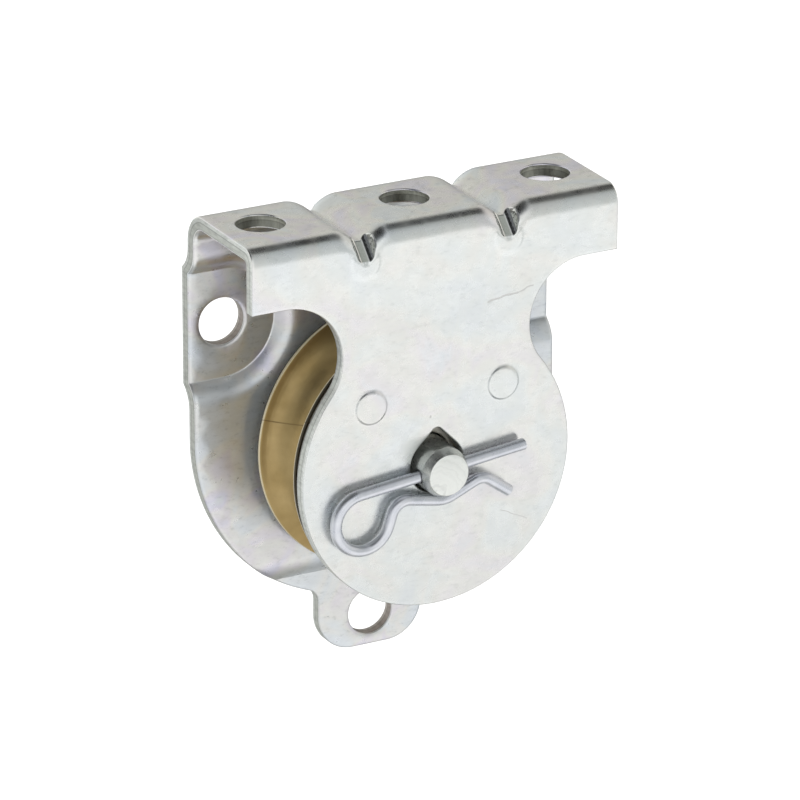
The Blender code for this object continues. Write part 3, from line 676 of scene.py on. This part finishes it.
# %% Creases of the pads, and the twins
def pad_edges(depth):
    """Creases round the ears' pads and above the tab's on one side of the sheet, as lines."""
    shift = STEP_SHIFT * (SHEET - depth)
    bow = arc(EAR_HOLE_X, EAR_PAD_Z, EAR_PAD_RADIUS + shift, math.pi / 2, 3 * math.pi / 2)
    run = np.column_stack([np.arange(WIDTH / 2 + MM, EAR_HOLE_X, -LINE_STEP)])
    top = np.column_stack([run, np.full(len(run), bow[0, 1])])
    bottom = np.column_stack([run[::-1], np.full(len(run), bow[-1, 1])])
    ear = np.vstack([top, bow, bottom])
    ear[:, 1] = back_s(ear[:, 1])
    across = np.arange(-TAB_WIDTH, TAB_WIDTH, LINE_STEP)
    tab_s = back_s(TAB_STEP_TOP + shift - STEP_WIDTH)
    return [ear, ear * (-1, 1), np.column_stack([across, np.full(len(across), tab_s)])]


def crease_lines():
    """Every crease, with its twins."""
    creases = pad_edges(0.0) + pad_edges(SHEET)
    for side in (-1, 1):
        for depth in (0, SHEET):
            for upper in (False, True):
                front = gusset_edge(FRONT_BEND, FRONT_REACH, depth, upper)
                rear = gusset_edge(REAR_BEND, REAR_REACH, depth, upper)
                creases.append(front + (side * BEAD_X, FRONT_BEND_START))
                creases.append(rear * (1, -1) + (side * BEAD_X, REAR_BEND_END))
    lines = list(creases)
    for line in creases:
        ahead = np.gradient(line, axis=0)
        normal = np.column_stack([-ahead[:, 1], ahead[:, 0]]) / np.linalg.norm(ahead, axis=1)[:, None]
        lines += [line - normal * CREASE, line + normal * CREASE]
    return lines


creases = crease_lines() + bead_lines
print(len(creases), "lines in all")

# %% [markdown]
# The blank is filled with triangles, by a function of Blender's that keeps every line it is given as
# an edge. A subdivided grid would be easier, but would cut across the creases. A few rings follow
# every cut edge, close together, so that the edge can be rounded: the punch draws the sheet in on one
# side, and leaves the other side crisp. The flat parts need few points, so the fine grid keeps only
# those where the press bends the sheet.

# %% Near the cut edges
RINGS = [0.0, 0.02 * MM, 0.06 * MM, 0.12 * MM, 0.2 * MM, 0.5 * MM]


def inset(loop, distance):
    """The loop moved into the metal by a distance."""
    ahead = np.roll(loop, -1, axis=0) - loop
    ahead /= np.linalg.norm(ahead, axis=1)[:, None]
    behind = np.roll(ahead, 1, axis=0)
    normal = np.column_stack([-(ahead + behind)[:, 1], (ahead + behind)[:, 0]])
    normal /= (1 + np.sum(ahead * behind, axis=1))[:, None]
    return loop + normal * distance


def metal_mask(points, loops):
    """Whether each point lies inside an odd number of loops."""
    x, y = points.T
    inside = np.zeros(len(points), bool)
    for loop in loops:
        for (x0, y0), (x1, y1) in zip(loop, np.roll(loop, -1, axis=0)):
            if y0 != y1:
                inside ^= ((y0 > y) != (y1 > y)) & (x < x0 + (y - y0) * (x1 - x0) / (y1 - y0))
    return inside


def edge_distance(points, loops):
    """Distance of each point to the nearest cut edge, as far as the widest ring."""
    nearest = np.full(len(points), RINGS[-1])
    for loop in loops:
        for start, end in zip(loop, np.roll(loop, -1, axis=0)):
            near = np.flatnonzero(np.all(np.abs(points - (start + end) / 2) < 2 * RINGS[-1], axis=1))
            run = end - start
            along = np.clip((points[near] - start) @ run / (run @ run), 0, 1)
            gap = np.linalg.norm(points[near] - start - along[:, None] * run, axis=1)
            nearest[near] = np.minimum(nearest[near], gap)
    return nearest


print(len(RINGS), "rings along each cut edge, the widest", round(RINGS[-1] / MM, 2), "mm in")

# %% Mesh of the flat blank
COARSE = 2.4 * MM
FINE = 0.4 * MM
LEAST_BEND = 0.0015 * MM            # a fine point stays where its neighbours bend away by this much
BOSS_RINGS = 6


def grid(spacing, low, high):
    """Points of a staggered grid."""
    rows = np.arange(low[1], high[1], spacing * 0.87)
    columns = np.arange(low[0], high[0], spacing)
    x, y = np.meshgrid(columns, rows)
    x = x + (np.arange(len(rows)) % 2)[:, None] * spacing / 2
    return np.column_stack([x.ravel(), y.ravel()])


def bent(points, step=FINE):
    """Whether the press bends the sheet at each point."""
    x, s = points.T
    here = press(x, s, 0.0)
    across = press(x + step, s, 0.0) + press(x - step, s, 0.0) - 2 * here
    along = press(x, s + step, 0.0) + press(x, s - step, 0.0) - 2 * here
    return np.linalg.norm(across, axis=1) + np.linalg.norm(along, axis=1) > LEAST_BEND


def blank_mesh():
    """Points, triangles and distance to the cut edge of the flat blank."""
    low, high = loops[0].min(axis=0), loops[0].max(axis=0)
    fine = grid(FINE, low, high)
    fine = fine[bent(fine)]
    free = np.vstack([grid(COARSE, low, high), fine])
    free = free[metal_mask(free, loops)]
    free = free[edge_distance(free, loops) >= RINGS[-1]]
    points, edges = [], []
    closed = [inset(loop, ring) for loop in loops for ring in RINGS]
    for side in (-1, 1):
        for share in np.linspace(0, 1, BOSS_RINGS):
            closed.append(circle(side * BOSS_PLACE, BOSS_PLACE, BOSS_RADIUS + BOSS_WALL * share))
    for loop in closed:
        first = len(points)
        points += [Vector(p) for p in loop]
        edges += [(first + i, first + (i + 1) % len(loop)) for i in range(len(loop))]
    for line in creases:
        first = len(points)
        points += [Vector(p) for p in line]
        edges += [(first + i, first + i + 1) for i in range(len(line) - 1)]
    points += [Vector(p) for p in free]
    made, _, faces, _, _, _ = delaunay_2d_cdt(points, edges, [], 0, 0.0005 * MM)
    places = np.array([tuple(p) for p in made])
    triangles = np.array(faces)
    triangles = triangles[metal_mask(places[triangles].mean(axis=1), loops)]
    return places, triangles, edge_distance(places, loops)


places, triangles, to_edge = blank_mesh()
print("blank:", len(places), "points,", len(triangles), "triangles")

# %% [markdown]
# Now the blank is folded. Its points are pressed twice, once at the outside of the sheet and once at
# its inside, and rows of points along the cut edge join the two. Each row remembers how far through
# the sheet it lies, and each cut wall gets the finish of its place.

# %% Thickness of the sheet
CRISP = 0.2 * MM                    # rounding on the outside of the sheet
ROLL_WIDTH = 0.5 * MM               # rounding on the inside, drawn in by the punch
ROLL_DEPTH = 0.28 * MM
WALL_ROWS = 4


def rounding(distance, width, depth):
    """How far a rounded edge drops below the face, at a distance from the cut."""
    share = np.clip(1 - distance / width, 0, 1)
    return depth * (1 - np.sqrt(1 - share ** 2))


def sheet_edges(faces):
    """The directed edges that only one triangle uses: the cut edges of the blank."""
    runs = np.vstack([faces[:, (0, 1)], faces[:, (1, 2)], faces[:, (2, 0)]])
    known = {tuple(run) for run in runs.tolist()}
    return [run for run in known if run[::-1] not in known]


def sheet_points(rim):
    """Points of both faces of the sheet, and of the rows between them along the cut edge."""
    x, s = places.T
    outside = press(x, s, rounding(to_edge, CRISP, CRISP))
    inside = press(x, s, SHEET - rounding(to_edge, ROLL_WIDTH, ROLL_DEPTH))
    rows = []
    for row in range(1, WALL_ROWS):
        depth = CRISP + (SHEET - ROLL_DEPTH - CRISP) * row / WALL_ROWS
        rows.append(press(x[rim], s[rim], np.full(len(rim), depth)))
    return np.vstack([outside, inside] + rows)


cut_edges = sheet_edges(triangles)
print(len(cut_edges), "edges are cut")

# %% Finish of each place
NEAR_HOLE = 4 * MM                  # nearer to a screw hole's centre than this, a wall is the hole's


def wall_finish(place):
    """The finish of a cut wall: 1 outside, 2 in the flange's screw holes, 3 in the back plate's."""
    x, y, z = place - PLATE_CENTRE
    from_flange = min(math.hypot(x - hole_x, y - hole_y) for hole_x, hole_y in FLANGE_HOLES)
    from_back = min(math.hypot(x - hole_x, z - hole_z) for hole_x, hole_z in BACK_HOLES)
    if z > TOP - 2 * SHEET and from_flange < NEAR_HOLE:
        return 2
    return 3 if y > DEPTH - SHEET and from_back < NEAR_HOLE else 1


def burnish_share(points):
    """How far the press tool burnished the outside of the sheet: 1 in the gussets, 0 elsewhere."""
    x, s = points.T
    y, z = folded(s, 0.0)
    inner = y + TOP - z + bead_drop(x, 0.0)
    return np.where(inner < gusset_cut(x, 0.0, FRONT_REACH) - 0.1 * MM, 1.0, 0.0)


burnish = burnish_share(places)
print(int(burnish.sum()), "points are burnished")

# %% [markdown]
# Every piece ends in the same two steps. The first turns what was built into a smooth-shaded mesh with
# sharp edges where the real one has them. The second puts it in the scene, lets it ride on its body
# and lets it stand for its CAD node.

# %% Finish a piece
SHARP = 55                          # degrees: a sharper edge of the bracket isn't shaded smooth


def finished_mesh(name, work, sharp):
    """The mesh of what was built, smooth but for edges sharper than an angle in degrees."""
    bmesh.ops.recalc_face_normals(work, faces=work.faces)
    mesh = bpy.data.meshes.new(name)
    work.to_mesh(mesh)
    work.free()
    mesh.shade_smooth()
    mesh.set_sharp_from_angle(angle=math.radians(sharp))
    return mesh


def add_piece(name, mesh, body, node, finishes):
    """Puts a finished mesh in the scene in place of its CAD node."""
    for finish in finishes:
        mesh.materials.append(finish)
    made = bpy.data.objects.new(name, mesh)
    bpy.context.scene.collection.objects.link(made)
    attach(made, body)
    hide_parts(node)
    print(name, "has", len(mesh.polygons), "faces")
    return made


print("the bracket's edges sharper than", SHARP, "degrees stay sharp")

# %% Bracket
def make_bracket():
    count = len(places)
    rim = sorted({i for run in cut_edges for i in run})
    row_of = {vertex: i for i, vertex in enumerate(rim)}

    def wall_vertex(vertex, row):
        if row == 0:
            return vertex
        if row == WALL_ROWS:
            return count + vertex
        return 2 * count + (row - 1) * len(rim) + row_of[vertex]

    faces = [tuple(face) for face in triangles.tolist()]
    faces += [tuple(count + i for i in reversed(face)) for face in triangles.tolist()]
    walls = [(wall_vertex(b, r), wall_vertex(a, r), wall_vertex(a, r + 1), wall_vertex(b, r + 1))
             for a, b in cut_edges for r in range(WALL_ROWS)]
    plain = bpy.data.meshes.new("folded_blank")
    plain.from_pydata(sheet_points(rim).tolist(), [], faces + walls)
    work = bmesh.new()
    work.from_mesh(plain)
    bpy.data.meshes.remove(plain)
    work.verts.ensure_lookup_table()
    burnished = work.verts.layers.float.new("burnished")
    for i, share in enumerate(burnish):
        work.verts[i][burnished] = share
    through = work.verts.layers.float.new("through_sheet")
    for row in range(WALL_ROWS + 1):
        for vertex in rim:
            work.verts[wall_vertex(vertex, row)][through] = row / WALL_ROWS
    for face in work.faces:
        if len(face.verts) == 4:
            face.material_index = wall_finish(face.calc_center_median())
    bmesh.ops.delete(work, geom=[v for v in work.verts if not v.link_faces], context="VERTS")
    return add_piece("bracket_sheet", finished_mesh("bracket_sheet", work, SHARP), "frame", "bracket",
                     [zinc, edge_finish, hole_finish, clear_hole_finish])


bracket = make_bracket()

# %% [markdown]
# The sheave is a turned wheel with a dull brass-coloured finish. Turning left fine rings round the
# axle, a third of a millimetre apart, so a light on it is drawn out across them. Handling has left
# the groove satin, the edges of the rims carry a painted highlight, and old grease has darkened the
# hub. The flanks are pale between the plates, with a dark line of painted shade at the outer edge of
# each flank, next to the rim. A fine seam crosses the groove.

# %% Brass finish
SHEAVE_RADIUS = 19.05 * MM
SHEAVE_WIDTH = 11.05 * MM
SHEAVE_Y = DEPTH / 2
SEAM_END = Vector((-18.6, 0, 6.7)) * MM
SEAM_SKEW = 0.34


def brass_colour(tree, patches, flat, radius, from_middle):
    """Brass tints, with grease on the hub, a painted highlight on the rims, the flanks' pale tone with a
    line of painted shade, and the seam.
    """
    tint = add(tree, "ValToRGB", [patches], stops=[(0.3, "#a68e5c"), (0.55, "#b49c6a"), (0.75, "#c0a876")])
    greasy = add(tree, "MapRange", [radius, 9 * MM, 11 * MM, 1.0, 0.0])
    worn = add(tree, "Mix", {0: greasy, 6: tint, 7: linear("#2c241a")}, 2, data_type="RGBA")
    # painted highlight: the outermost 0.15 mm of each rim is coloured near white, as a glint
    bright = add(tree, "MapRange", [radius, SHEAVE_RADIUS - 0.15 * MM, SHEAVE_RADIUS - 0.05 * MM, 0.0, 0.9])
    rim_glint_painted = add(tree, "Mix", {0: bright, 6: worn, 7: linear("#fbf0d0")}, 2, data_type="RGBA")
    aside = add(tree, "Math", [from_middle], operation="ABSOLUTE")
    flank = add(tree, "MapRange", [aside, SHEAVE_WIDTH / 2 - 0.42 * MM, SHEAVE_WIDTH / 2 - 0.32 * MM,
                                   0.0, 0.95])
    # painted shade: the flanks' outermost quarter millimetre, next to the rim, is coloured near black, for
    # the shadowed gap beside the sheave
    painted_rim_shade = add(tree, "MapRange", [radius, 18.6 * MM, 18.8 * MM])
    side = add(tree, "Mix", {0: painted_rim_shade, 6: linear("#e4e0d4"), 7: linear("#241d15")}, 2, data_type="RGBA")
    sided = add(tree, "Mix", {0: flank, 6: rim_glint_painted, 7: side}, 2, data_type="RGBA")
    skew = add(tree, "VectorMath", {0: (0, 0, SEAM_SKEW), "Scale": from_middle}, operation="SCALE")
    skewed = add(tree, "VectorMath", [flat, skew])
    seam = stroke(tree, skewed, Vector((0, 0, 0)), SEAM_END, 0.13 * MM)
    broken = add(tree, "Math", [seam, patches], operation="MULTIPLY")
    return add(tree, "Mix", {0: broken, 6: sided, 7: linear("#4a3820")}, 2, data_type="RGBA")


def brass_plate(tree):
    """Brass plate with turned rings, a little rougher in one place than in another."""
    place = add(tree, "TexCoord", output="Object")
    from_axle = add(tree, "VectorMath", [place, AXLE], operation="SUBTRACT")
    flat = add(tree, "VectorMath", [from_axle, (1, 0, 1)], operation="MULTIPLY")
    radius = add(tree, "VectorMath", [flat], "Value", operation="LENGTH")
    across = add(tree, "SeparateXYZ", [from_axle], "Y")
    from_middle = add(tree, "Math", [across, SHEAVE_Y], operation="SUBTRACT")
    patches = add(tree, "TexNoise", {"Vector": place, "Scale": 1 / (4 * MM), "Detail": 4.0})
    colour = brass_colour(tree, patches, flat, radius, from_middle)

    lower_and_handled = add(tree, "TexNoise", {"Vector": place, "Scale": 1 / (1.2 * MM), "Detail": 3.0})
    rough = add(tree, "MapRange", [lower_and_handled, 0.3, 0.7, 0.28, 0.42])
    wobble = add(tree, "TexNoise", {"Vector": place, "Scale": 1 / (1.5 * MM)})
    spread = add(tree, "Math", [wobble, 0.4 * MM], operation="MULTIPLY")
    ring_place = add(tree, "Math", [radius, spread], operation="ADD")
    rings = add(tree, "TexNoise", {"W": ring_place, "Scale": 1 / (0.33 * MM)}, noise_dimensions="1D")
    bump = add(tree, "Bump", {"Height": rings, "Strength": 0.25, "Distance": 0.03 * MM})
    return add(tree, "BsdfPrincipled", {"Base Color": colour, "Metallic": 0.7, "Roughness": rough,
                                        "Normal": bump})


brass = material("satin_brass_plate", brass_plate)

# %% [markdown]
# A turned piece is a profile spun round the axle, as on a lathe. Blender's screw modifier would do
# the same, but a function of its own leaves a plain mesh that needs nothing applied. The sheave's
# profile goes up one flank, across the groove and down the other, and its corners are rounded a
# little.

# %% Turning
NEARLY_STRAIGHT = -0.94             # cosine between a profile's two sides where it has no real corner
TURNED_SHARP = 50                   # degrees


def rounded(profile, radius, steps=3):
    """A closed profile of (radius, y) points with its sharp corners rounded."""
    points = []
    count = len(profile)
    for i, corner in enumerate(profile):
        before = np.array(profile[i - 1]) - corner
        after = np.array(profile[(i + 1) % count]) - corner
        reach = min(radius, np.linalg.norm(before) / 2.2, np.linalg.norm(after) / 2.2)
        before /= np.linalg.norm(before)
        after /= np.linalg.norm(after)
        if before @ after < NEARLY_STRAIGHT:
            points.append(np.array(corner))
            continue
        for t in np.linspace(0, 1, steps + 1):
            points.append(corner + before * reach * (1 - t) ** 2 + after * reach * t ** 2)
    return points


def turned(name, profile, steps, closed=True):
    """Turns a profile of (radius, y) points about the Y axis, round the axle."""
    work = bmesh.new()
    rings = []
    for radius, y in profile:
        if radius < 1e-7:
            rings.append([work.verts.new((0, y, 0))] * steps)
            continue
        angles = [2 * math.pi * i / steps for i in range(steps)]
        rings.append([work.verts.new((radius * math.cos(a), y, radius * math.sin(a))) for a in angles])
    pairs = list(zip(rings, rings[1:] + rings[:1] if closed else rings[1:]))
    for one, two in pairs:
        for i in range(steps):
            j = (i + 1) % steps
            corners = [one[i], one[j], two[j], two[i]]
            corners = [v for k, v in enumerate(corners) if v != corners[k - 1]]
            if len(corners) > 2:
                work.faces.new(corners)
    mesh = finished_mesh(name, work, TURNED_SHARP)
    mesh.transform(Matrix.Translation(AXLE))
    return mesh


print("turning round the axle at", [round(v / MM, 2) for v in AXLE], "mm")

# %% Sheave
RIM_LAND = 0.65 * MM
GROOVE_DEPTH = 4.4 * MM
HUB_RADIUS = 7.0 * MM
HUB_GAP = 1.2 * MM                  # hub face to plate
BORE = 3.7 * MM
WEB_RECESS = 1.6 * MM
RIM_SIDE_WIDTH = 2.6 * MM
EDGE_ROUND = 0.2 * MM
GROOVE_POINTS = 25
SHEAVE_STEPS = 192


def make_sheave():
    face = SHEAVE_WIDTH / 2
    hub = (DEPTH - 2 * SHEET) / 2 - HUB_GAP
    web = face - WEB_RECESS
    web_outer = SHEAVE_RADIUS - GROOVE_DEPTH - RIM_SIDE_WIDTH
    half = face - RIM_LAND
    radius = (half ** 2 + GROOVE_DEPTH ** 2) / (2 * GROOVE_DEPTH)
    reach = math.asin(half / radius)
    groove = [(SHEAVE_RADIUS - GROOVE_DEPTH + radius - radius * math.cos(a), radius * math.sin(a))
              for a in np.linspace(-reach, reach, GROOVE_POINTS)]
    side = [(BORE, hub), (HUB_RADIUS, hub), (HUB_RADIUS, web), (web_outer, web),
            (web_outer + WEB_RECESS, face), (SHEAVE_RADIUS, face)]
    profile = rounded([(r, -y) for r, y in side] + groove + side[::-1], EDGE_ROUND)
    mesh = turned("sheave_wheel", [(r, y + SHEAVE_Y) for r, y in profile], SHEAVE_STEPS)
    return add_piece("sheave_wheel", mesh, "wheel", "sheave", [brass])


sheave = make_sheave()

# %% [markdown]
# The axle pin was turned from bar. It runs through both plates and stands out in front, with a cross
# hole for the clip and a chamfered end. The end was cropped, which left it matt and pale, with
# crescent marks from the tool low on its left. The hole could be drawn into the mesh point by point,
# but a Boolean cuts it as the drill did, and follows when a size changes.

# %% Pin steel
CROP_TOOL = AXLE + Vector((-1.9, 0, -2.4)) * MM


def turned_steel(tree):
    """Steel turned smooth, with patches 1.5 mm wide where it was handled."""
    place = add(tree, "TexCoord", output="Object")
    patches = add(tree, "TexNoise", {"Vector": place, "Scale": 1 / (1.5 * MM), "Detail": 4.0})
    tint = add(tree, "ValToRGB", [patches], stops=[(0.35, "#bfc2be"), (0.65, "#d6d8d4")])
    rough = add(tree, "MapRange", [patches, 0.3, 0.7, 0.20, 0.32])
    return add(tree, "BsdfPrincipled", {"Base Color": tint, "Metallic": 0.85, "Roughness": rough})


def cropped_steel(tree):
    """Arcs half a millimetre apart round the place where the cropping tool bit, clear near it."""
    place = add(tree, "TexCoord", output="Object")
    from_tool = add(tree, "VectorMath", [place, CROP_TOOL], operation="SUBTRACT")
    reach = add(tree, "VectorMath", [from_tool], "Value", operation="LENGTH")
    wobble = add(tree, "TexNoise", {"Vector": place, "Scale": 1 / (0.9 * MM), "Detail": 3.0})
    spread = add(tree, "Math", [wobble, 0.9 * MM], operation="MULTIPLY")
    arcs = add(tree, "Math", [reach, spread], operation="ADD")
    scuffs = add(tree, "TexNoise", {"W": arcs, "Scale": 1 / (0.5 * MM), "Detail": 3.0},
                 noise_dimensions="1D")
    marked = add(tree, "ValToRGB", [scuffs], stops=[
        (0.40, "#8a8e8a"), (0.50, "#e4e6e2"), (0.66, "#f4f6f2")])
    low = add(tree, "MapRange", [reach, 2.4 * MM, 3.8 * MM, 1.0, 0.1])
    colour = add(tree, "Mix", {0: low, 6: linear("#f2f4f0"), 7: marked}, 2, data_type="RGBA")
    bump = add(tree, "Bump", {"Height": scuffs, "Strength": 0.3, "Distance": 0.05 * MM})
    return add(tree, "BsdfPrincipled", {"Base Color": colour, "Metallic": 0.75, "Roughness": 0.34,
                                        "Normal": bump})


pin_side = material("turned_steel", turned_steel)
pin_end = material("cropped_steel_end", cropped_steel)

# %% Axle pin
PIN_RADIUS = 3.5 * MM
PIN_ROUND = 0.12 * MM
PIN_STEPS = 96
TIP_RADIUS = 3.4 * MM
TIP_LENGTH = 3.45 * MM
END_RADIUS = 2.9 * MM
CHAMFER_LENGTH = 1.3 * MM
HEAD_RADIUS = 5.5 * MM
HEAD_FRONT = DEPTH + 0.3 * MM
HEAD_REAR = HEAD_FRONT + 1.2 * MM
CLIP_Y = -1.2 * MM
CLIP_TILT = math.radians(6.2)
CLIP_HOLE_RADIUS = 1.0 * MM
BORED_SHARP = 40                    # degrees, once the clip's hole is bored


def clip_drill():
    """A round bar where the clip's straight leg goes through the pin."""
    work = bmesh.new()
    bmesh.ops.create_cone(work, cap_ends=True, segments=40, radius1=CLIP_HOLE_RADIUS,
                          radius2=CLIP_HOLE_RADIUS, depth=4 * TIP_RADIUS)
    turn = Matrix.Rotation(math.pi / 2 - CLIP_TILT, 4, "Y")
    bmesh.ops.transform(work, matrix=Matrix.Translation(AXLE + Vector((0, CLIP_Y, 0))) @ turn,
                        verts=work.verts)
    mesh = bpy.data.meshes.new("drill")
    work.to_mesh(mesh)
    work.free()
    drill = bpy.data.objects.new("drill", mesh)
    bpy.context.scene.collection.objects.link(drill)
    return drill


def make_pin():
    profile = [(0, -TIP_LENGTH), (END_RADIUS, -TIP_LENGTH), (TIP_RADIUS, CHAMFER_LENGTH - TIP_LENGTH),
               (TIP_RADIUS, 0), (PIN_RADIUS, SHEET / 4), (PIN_RADIUS, HEAD_FRONT),
               (HEAD_RADIUS, HEAD_FRONT), (HEAD_RADIUS, HEAD_REAR), (0, HEAD_REAR)]
    soft = [profile[0]] + rounded(profile, PIN_ROUND)[4:-4] + [profile[-1]]
    mesh = turned("pin_body", soft, PIN_STEPS, closed=False)
    end_y = AXLE.y - TIP_LENGTH + 0.02 * MM
    for face in mesh.polygons:
        face.material_index = 1 if face.center.y < end_y else 0
    pin = add_piece("pin_body", mesh, "axle", "axle_pin", [pin_side, pin_end])
    drill = clip_drill()
    cut = pin.modifiers.new("clip_hole", "BOOLEAN")
    cut.operation = "DIFFERENCE"
    cut.solver = "EXACT"
    cut.object = drill
    bpy.context.view_layer.update()
    bored = bpy.data.meshes.new_from_object(pin.evaluated_get(bpy.context.evaluated_depsgraph_get()))
    pin.modifiers.clear()
    pin.data = bored
    bpy.data.objects.remove(drill)
    bored.set_sharp_from_angle(angle=math.radians(BORED_SHARP))
    return pin


pin = make_pin()

# %% [markdown]
# The clip is spring wire, zinc-plated and left bright. It is one smooth line: a straight leg through
# the pin, a round loop, and a waved leg that hugs the pin and ends in a flick. A Bezier curve would
# be quicker to draw, but wire is bent round pegs, so that each bend has one radius. So the line is
# made of circles and the straight runs that touch them, and a ring of points follows it.

# %% Clip wire
def zinc_wire(tree):
    """Wire drawn smooth and plated bright, with a slightly bluer tone than the sheet."""
    place = add(tree, "TexCoord", output="Object")
    patches = add(tree, "TexNoise", {"Vector": place, "Scale": 1 / (2.5 * MM), "Detail": 3.0})
    tint = add(tree, "ValToRGB", [patches], stops=[(0.35, "#d6d9e1"), (0.65, "#e8eaef")])
    rough = add(tree, "MapRange", [patches, 0.3, 0.7, 0.24, 0.34])
    return add(tree, "BsdfPrincipled", {"Base Color": tint, "Metallic": 0.8, "Roughness": rough})


wire_finish = material("bright_zinc_wire", zinc_wire)

# %% Hairpin clip
WIRE_RADIUS = 0.8 * MM
WIRE_SIDES = 24
WIRE_SPACING = 0.35 * MM
WIRE_END_ROUND = 0.12 * MM
LEG_LENGTH = 12.6 * MM
LOOP_RADIUS = 4.0 * MM
LOOP_RUN = 1.6 * MM                 # straight wire between the loop and the first wave
CLIP_GAP = 0.05 * MM
WAVE_RADIUS = 2.3 * MM
FIRST_CREST = (-5.2 * MM, -5.65 * MM)
LAST_CREST = (5.9 * MM, -4.6 * MM)
WAVED_END = (10.3 * MM, -4.95 * MM)


def tangent_points(first, second):
    """Where a path leaves one circle and meets the next. Each is (x, z, radius, turn)."""
    x0, z0, radius0, turn0 = first
    x1, z1, radius1, turn1 = second
    heading = math.atan2(z1 - z0, x1 - x0)
    heading -= math.asin((turn1 * radius1 - turn0 * radius0) / math.hypot(x1 - x0, z1 - z0))
    side = Vector((-math.sin(heading), math.cos(heading)))
    return Vector((x0, z0)) - turn0 * radius0 * side, Vector((x1, z1)) - turn1 * radius1 * side


def clip_path():
    """The clip's centreline in the plane of the clip, as evenly spaced points."""
    along = Vector((math.cos(CLIP_TILT), math.sin(CLIP_TILT)))
    below = Vector((along.y, -along.x))
    crest = Vector(FIRST_CREST)
    apart = math.hypot(LOOP_RADIUS + WAVE_RADIUS, LOOP_RUN)
    loop_reach = math.sqrt(apart ** 2 - (crest.dot(below) - LOOP_RADIUS) ** 2) - crest.dot(along)
    loop = LOOP_RADIUS * below - loop_reach * along
    hug = TIP_RADIUS + CLIP_GAP + WIRE_RADIUS
    stops = [(*(LEG_LENGTH * along), 0, 1), (*loop, LOOP_RADIUS, 1), (*FIRST_CREST, WAVE_RADIUS, -1),
             (0, 0, hug, 1), (*LAST_CREST, WAVE_RADIUS, -1), (*WAVED_END, 0, 1)]
    runs = [tangent_points(a, b) for a, b in zip(stops, stops[1:])]
    path = [runs[0][0]]
    for (x, z, radius, turn), arrive, leave in zip(stops[1:], runs, runs[1:] + [None]):
        start = path[-1]
        count = max(1, math.ceil((arrive[1] - start).length / WIRE_SPACING))
        path += [start.lerp(arrive[1], i / count) for i in range(1, count + 1)]
        if leave is None:
            break
        begin = math.atan2(arrive[1].y - z, arrive[1].x - x)
        end = math.atan2(leave[0].y - z, leave[0].x - x)
        sweep = ((end - begin) * turn) % (2 * math.pi) * turn
        steps = max(2, math.ceil(abs(sweep) * radius / WIRE_SPACING))
        for i in range(1, steps + 1):
            angle = begin + sweep * i / steps
            path.append(Vector((x + radius * math.cos(angle), z + radius * math.sin(angle))))
    return path


path = clip_path()
print("the clip's wire is about", round(len(path) * WIRE_SPACING / MM), "mm long")

# %% Bend the wire
def make_clip():
    work = bmesh.new()
    rings = []
    for i, here in enumerate(path):
        ahead = (path[min(i + 1, len(path) - 1)] - path[max(i - 1, 0)]).normalized()
        side = Vector((-ahead.y, ahead.x))
        ring = []
        for k in range(WIRE_SIDES):
            angle = 2 * math.pi * k / WIRE_SIDES
            flat = here + side * WIRE_RADIUS * math.cos(angle)
            place = AXLE + Vector((flat.x, CLIP_Y + WIRE_RADIUS * math.sin(angle), flat.y))
            ring.append(work.verts.new(place))
        rings.append(ring)
    for one, two in zip(rings, rings[1:]):
        for k in range(WIRE_SIDES):
            j = (k + 1) % WIRE_SIDES
            work.faces.new((one[k], one[j], two[j], two[k]))
    ends = [work.faces.new(rings[0]), work.faces.new(rings[-1][::-1])]
    rim = [edge for face in ends for edge in face.edges]
    bmesh.ops.bevel(work, geom=rim, offset=WIRE_END_ROUND, segments=2, affect="EDGES")
    mesh = finished_mesh("clip_wire", work, TURNED_SHARP)
    return add_piece("clip_wire", mesh, "axle", "hitch_clip", [wire_finish])


clip = make_clip()
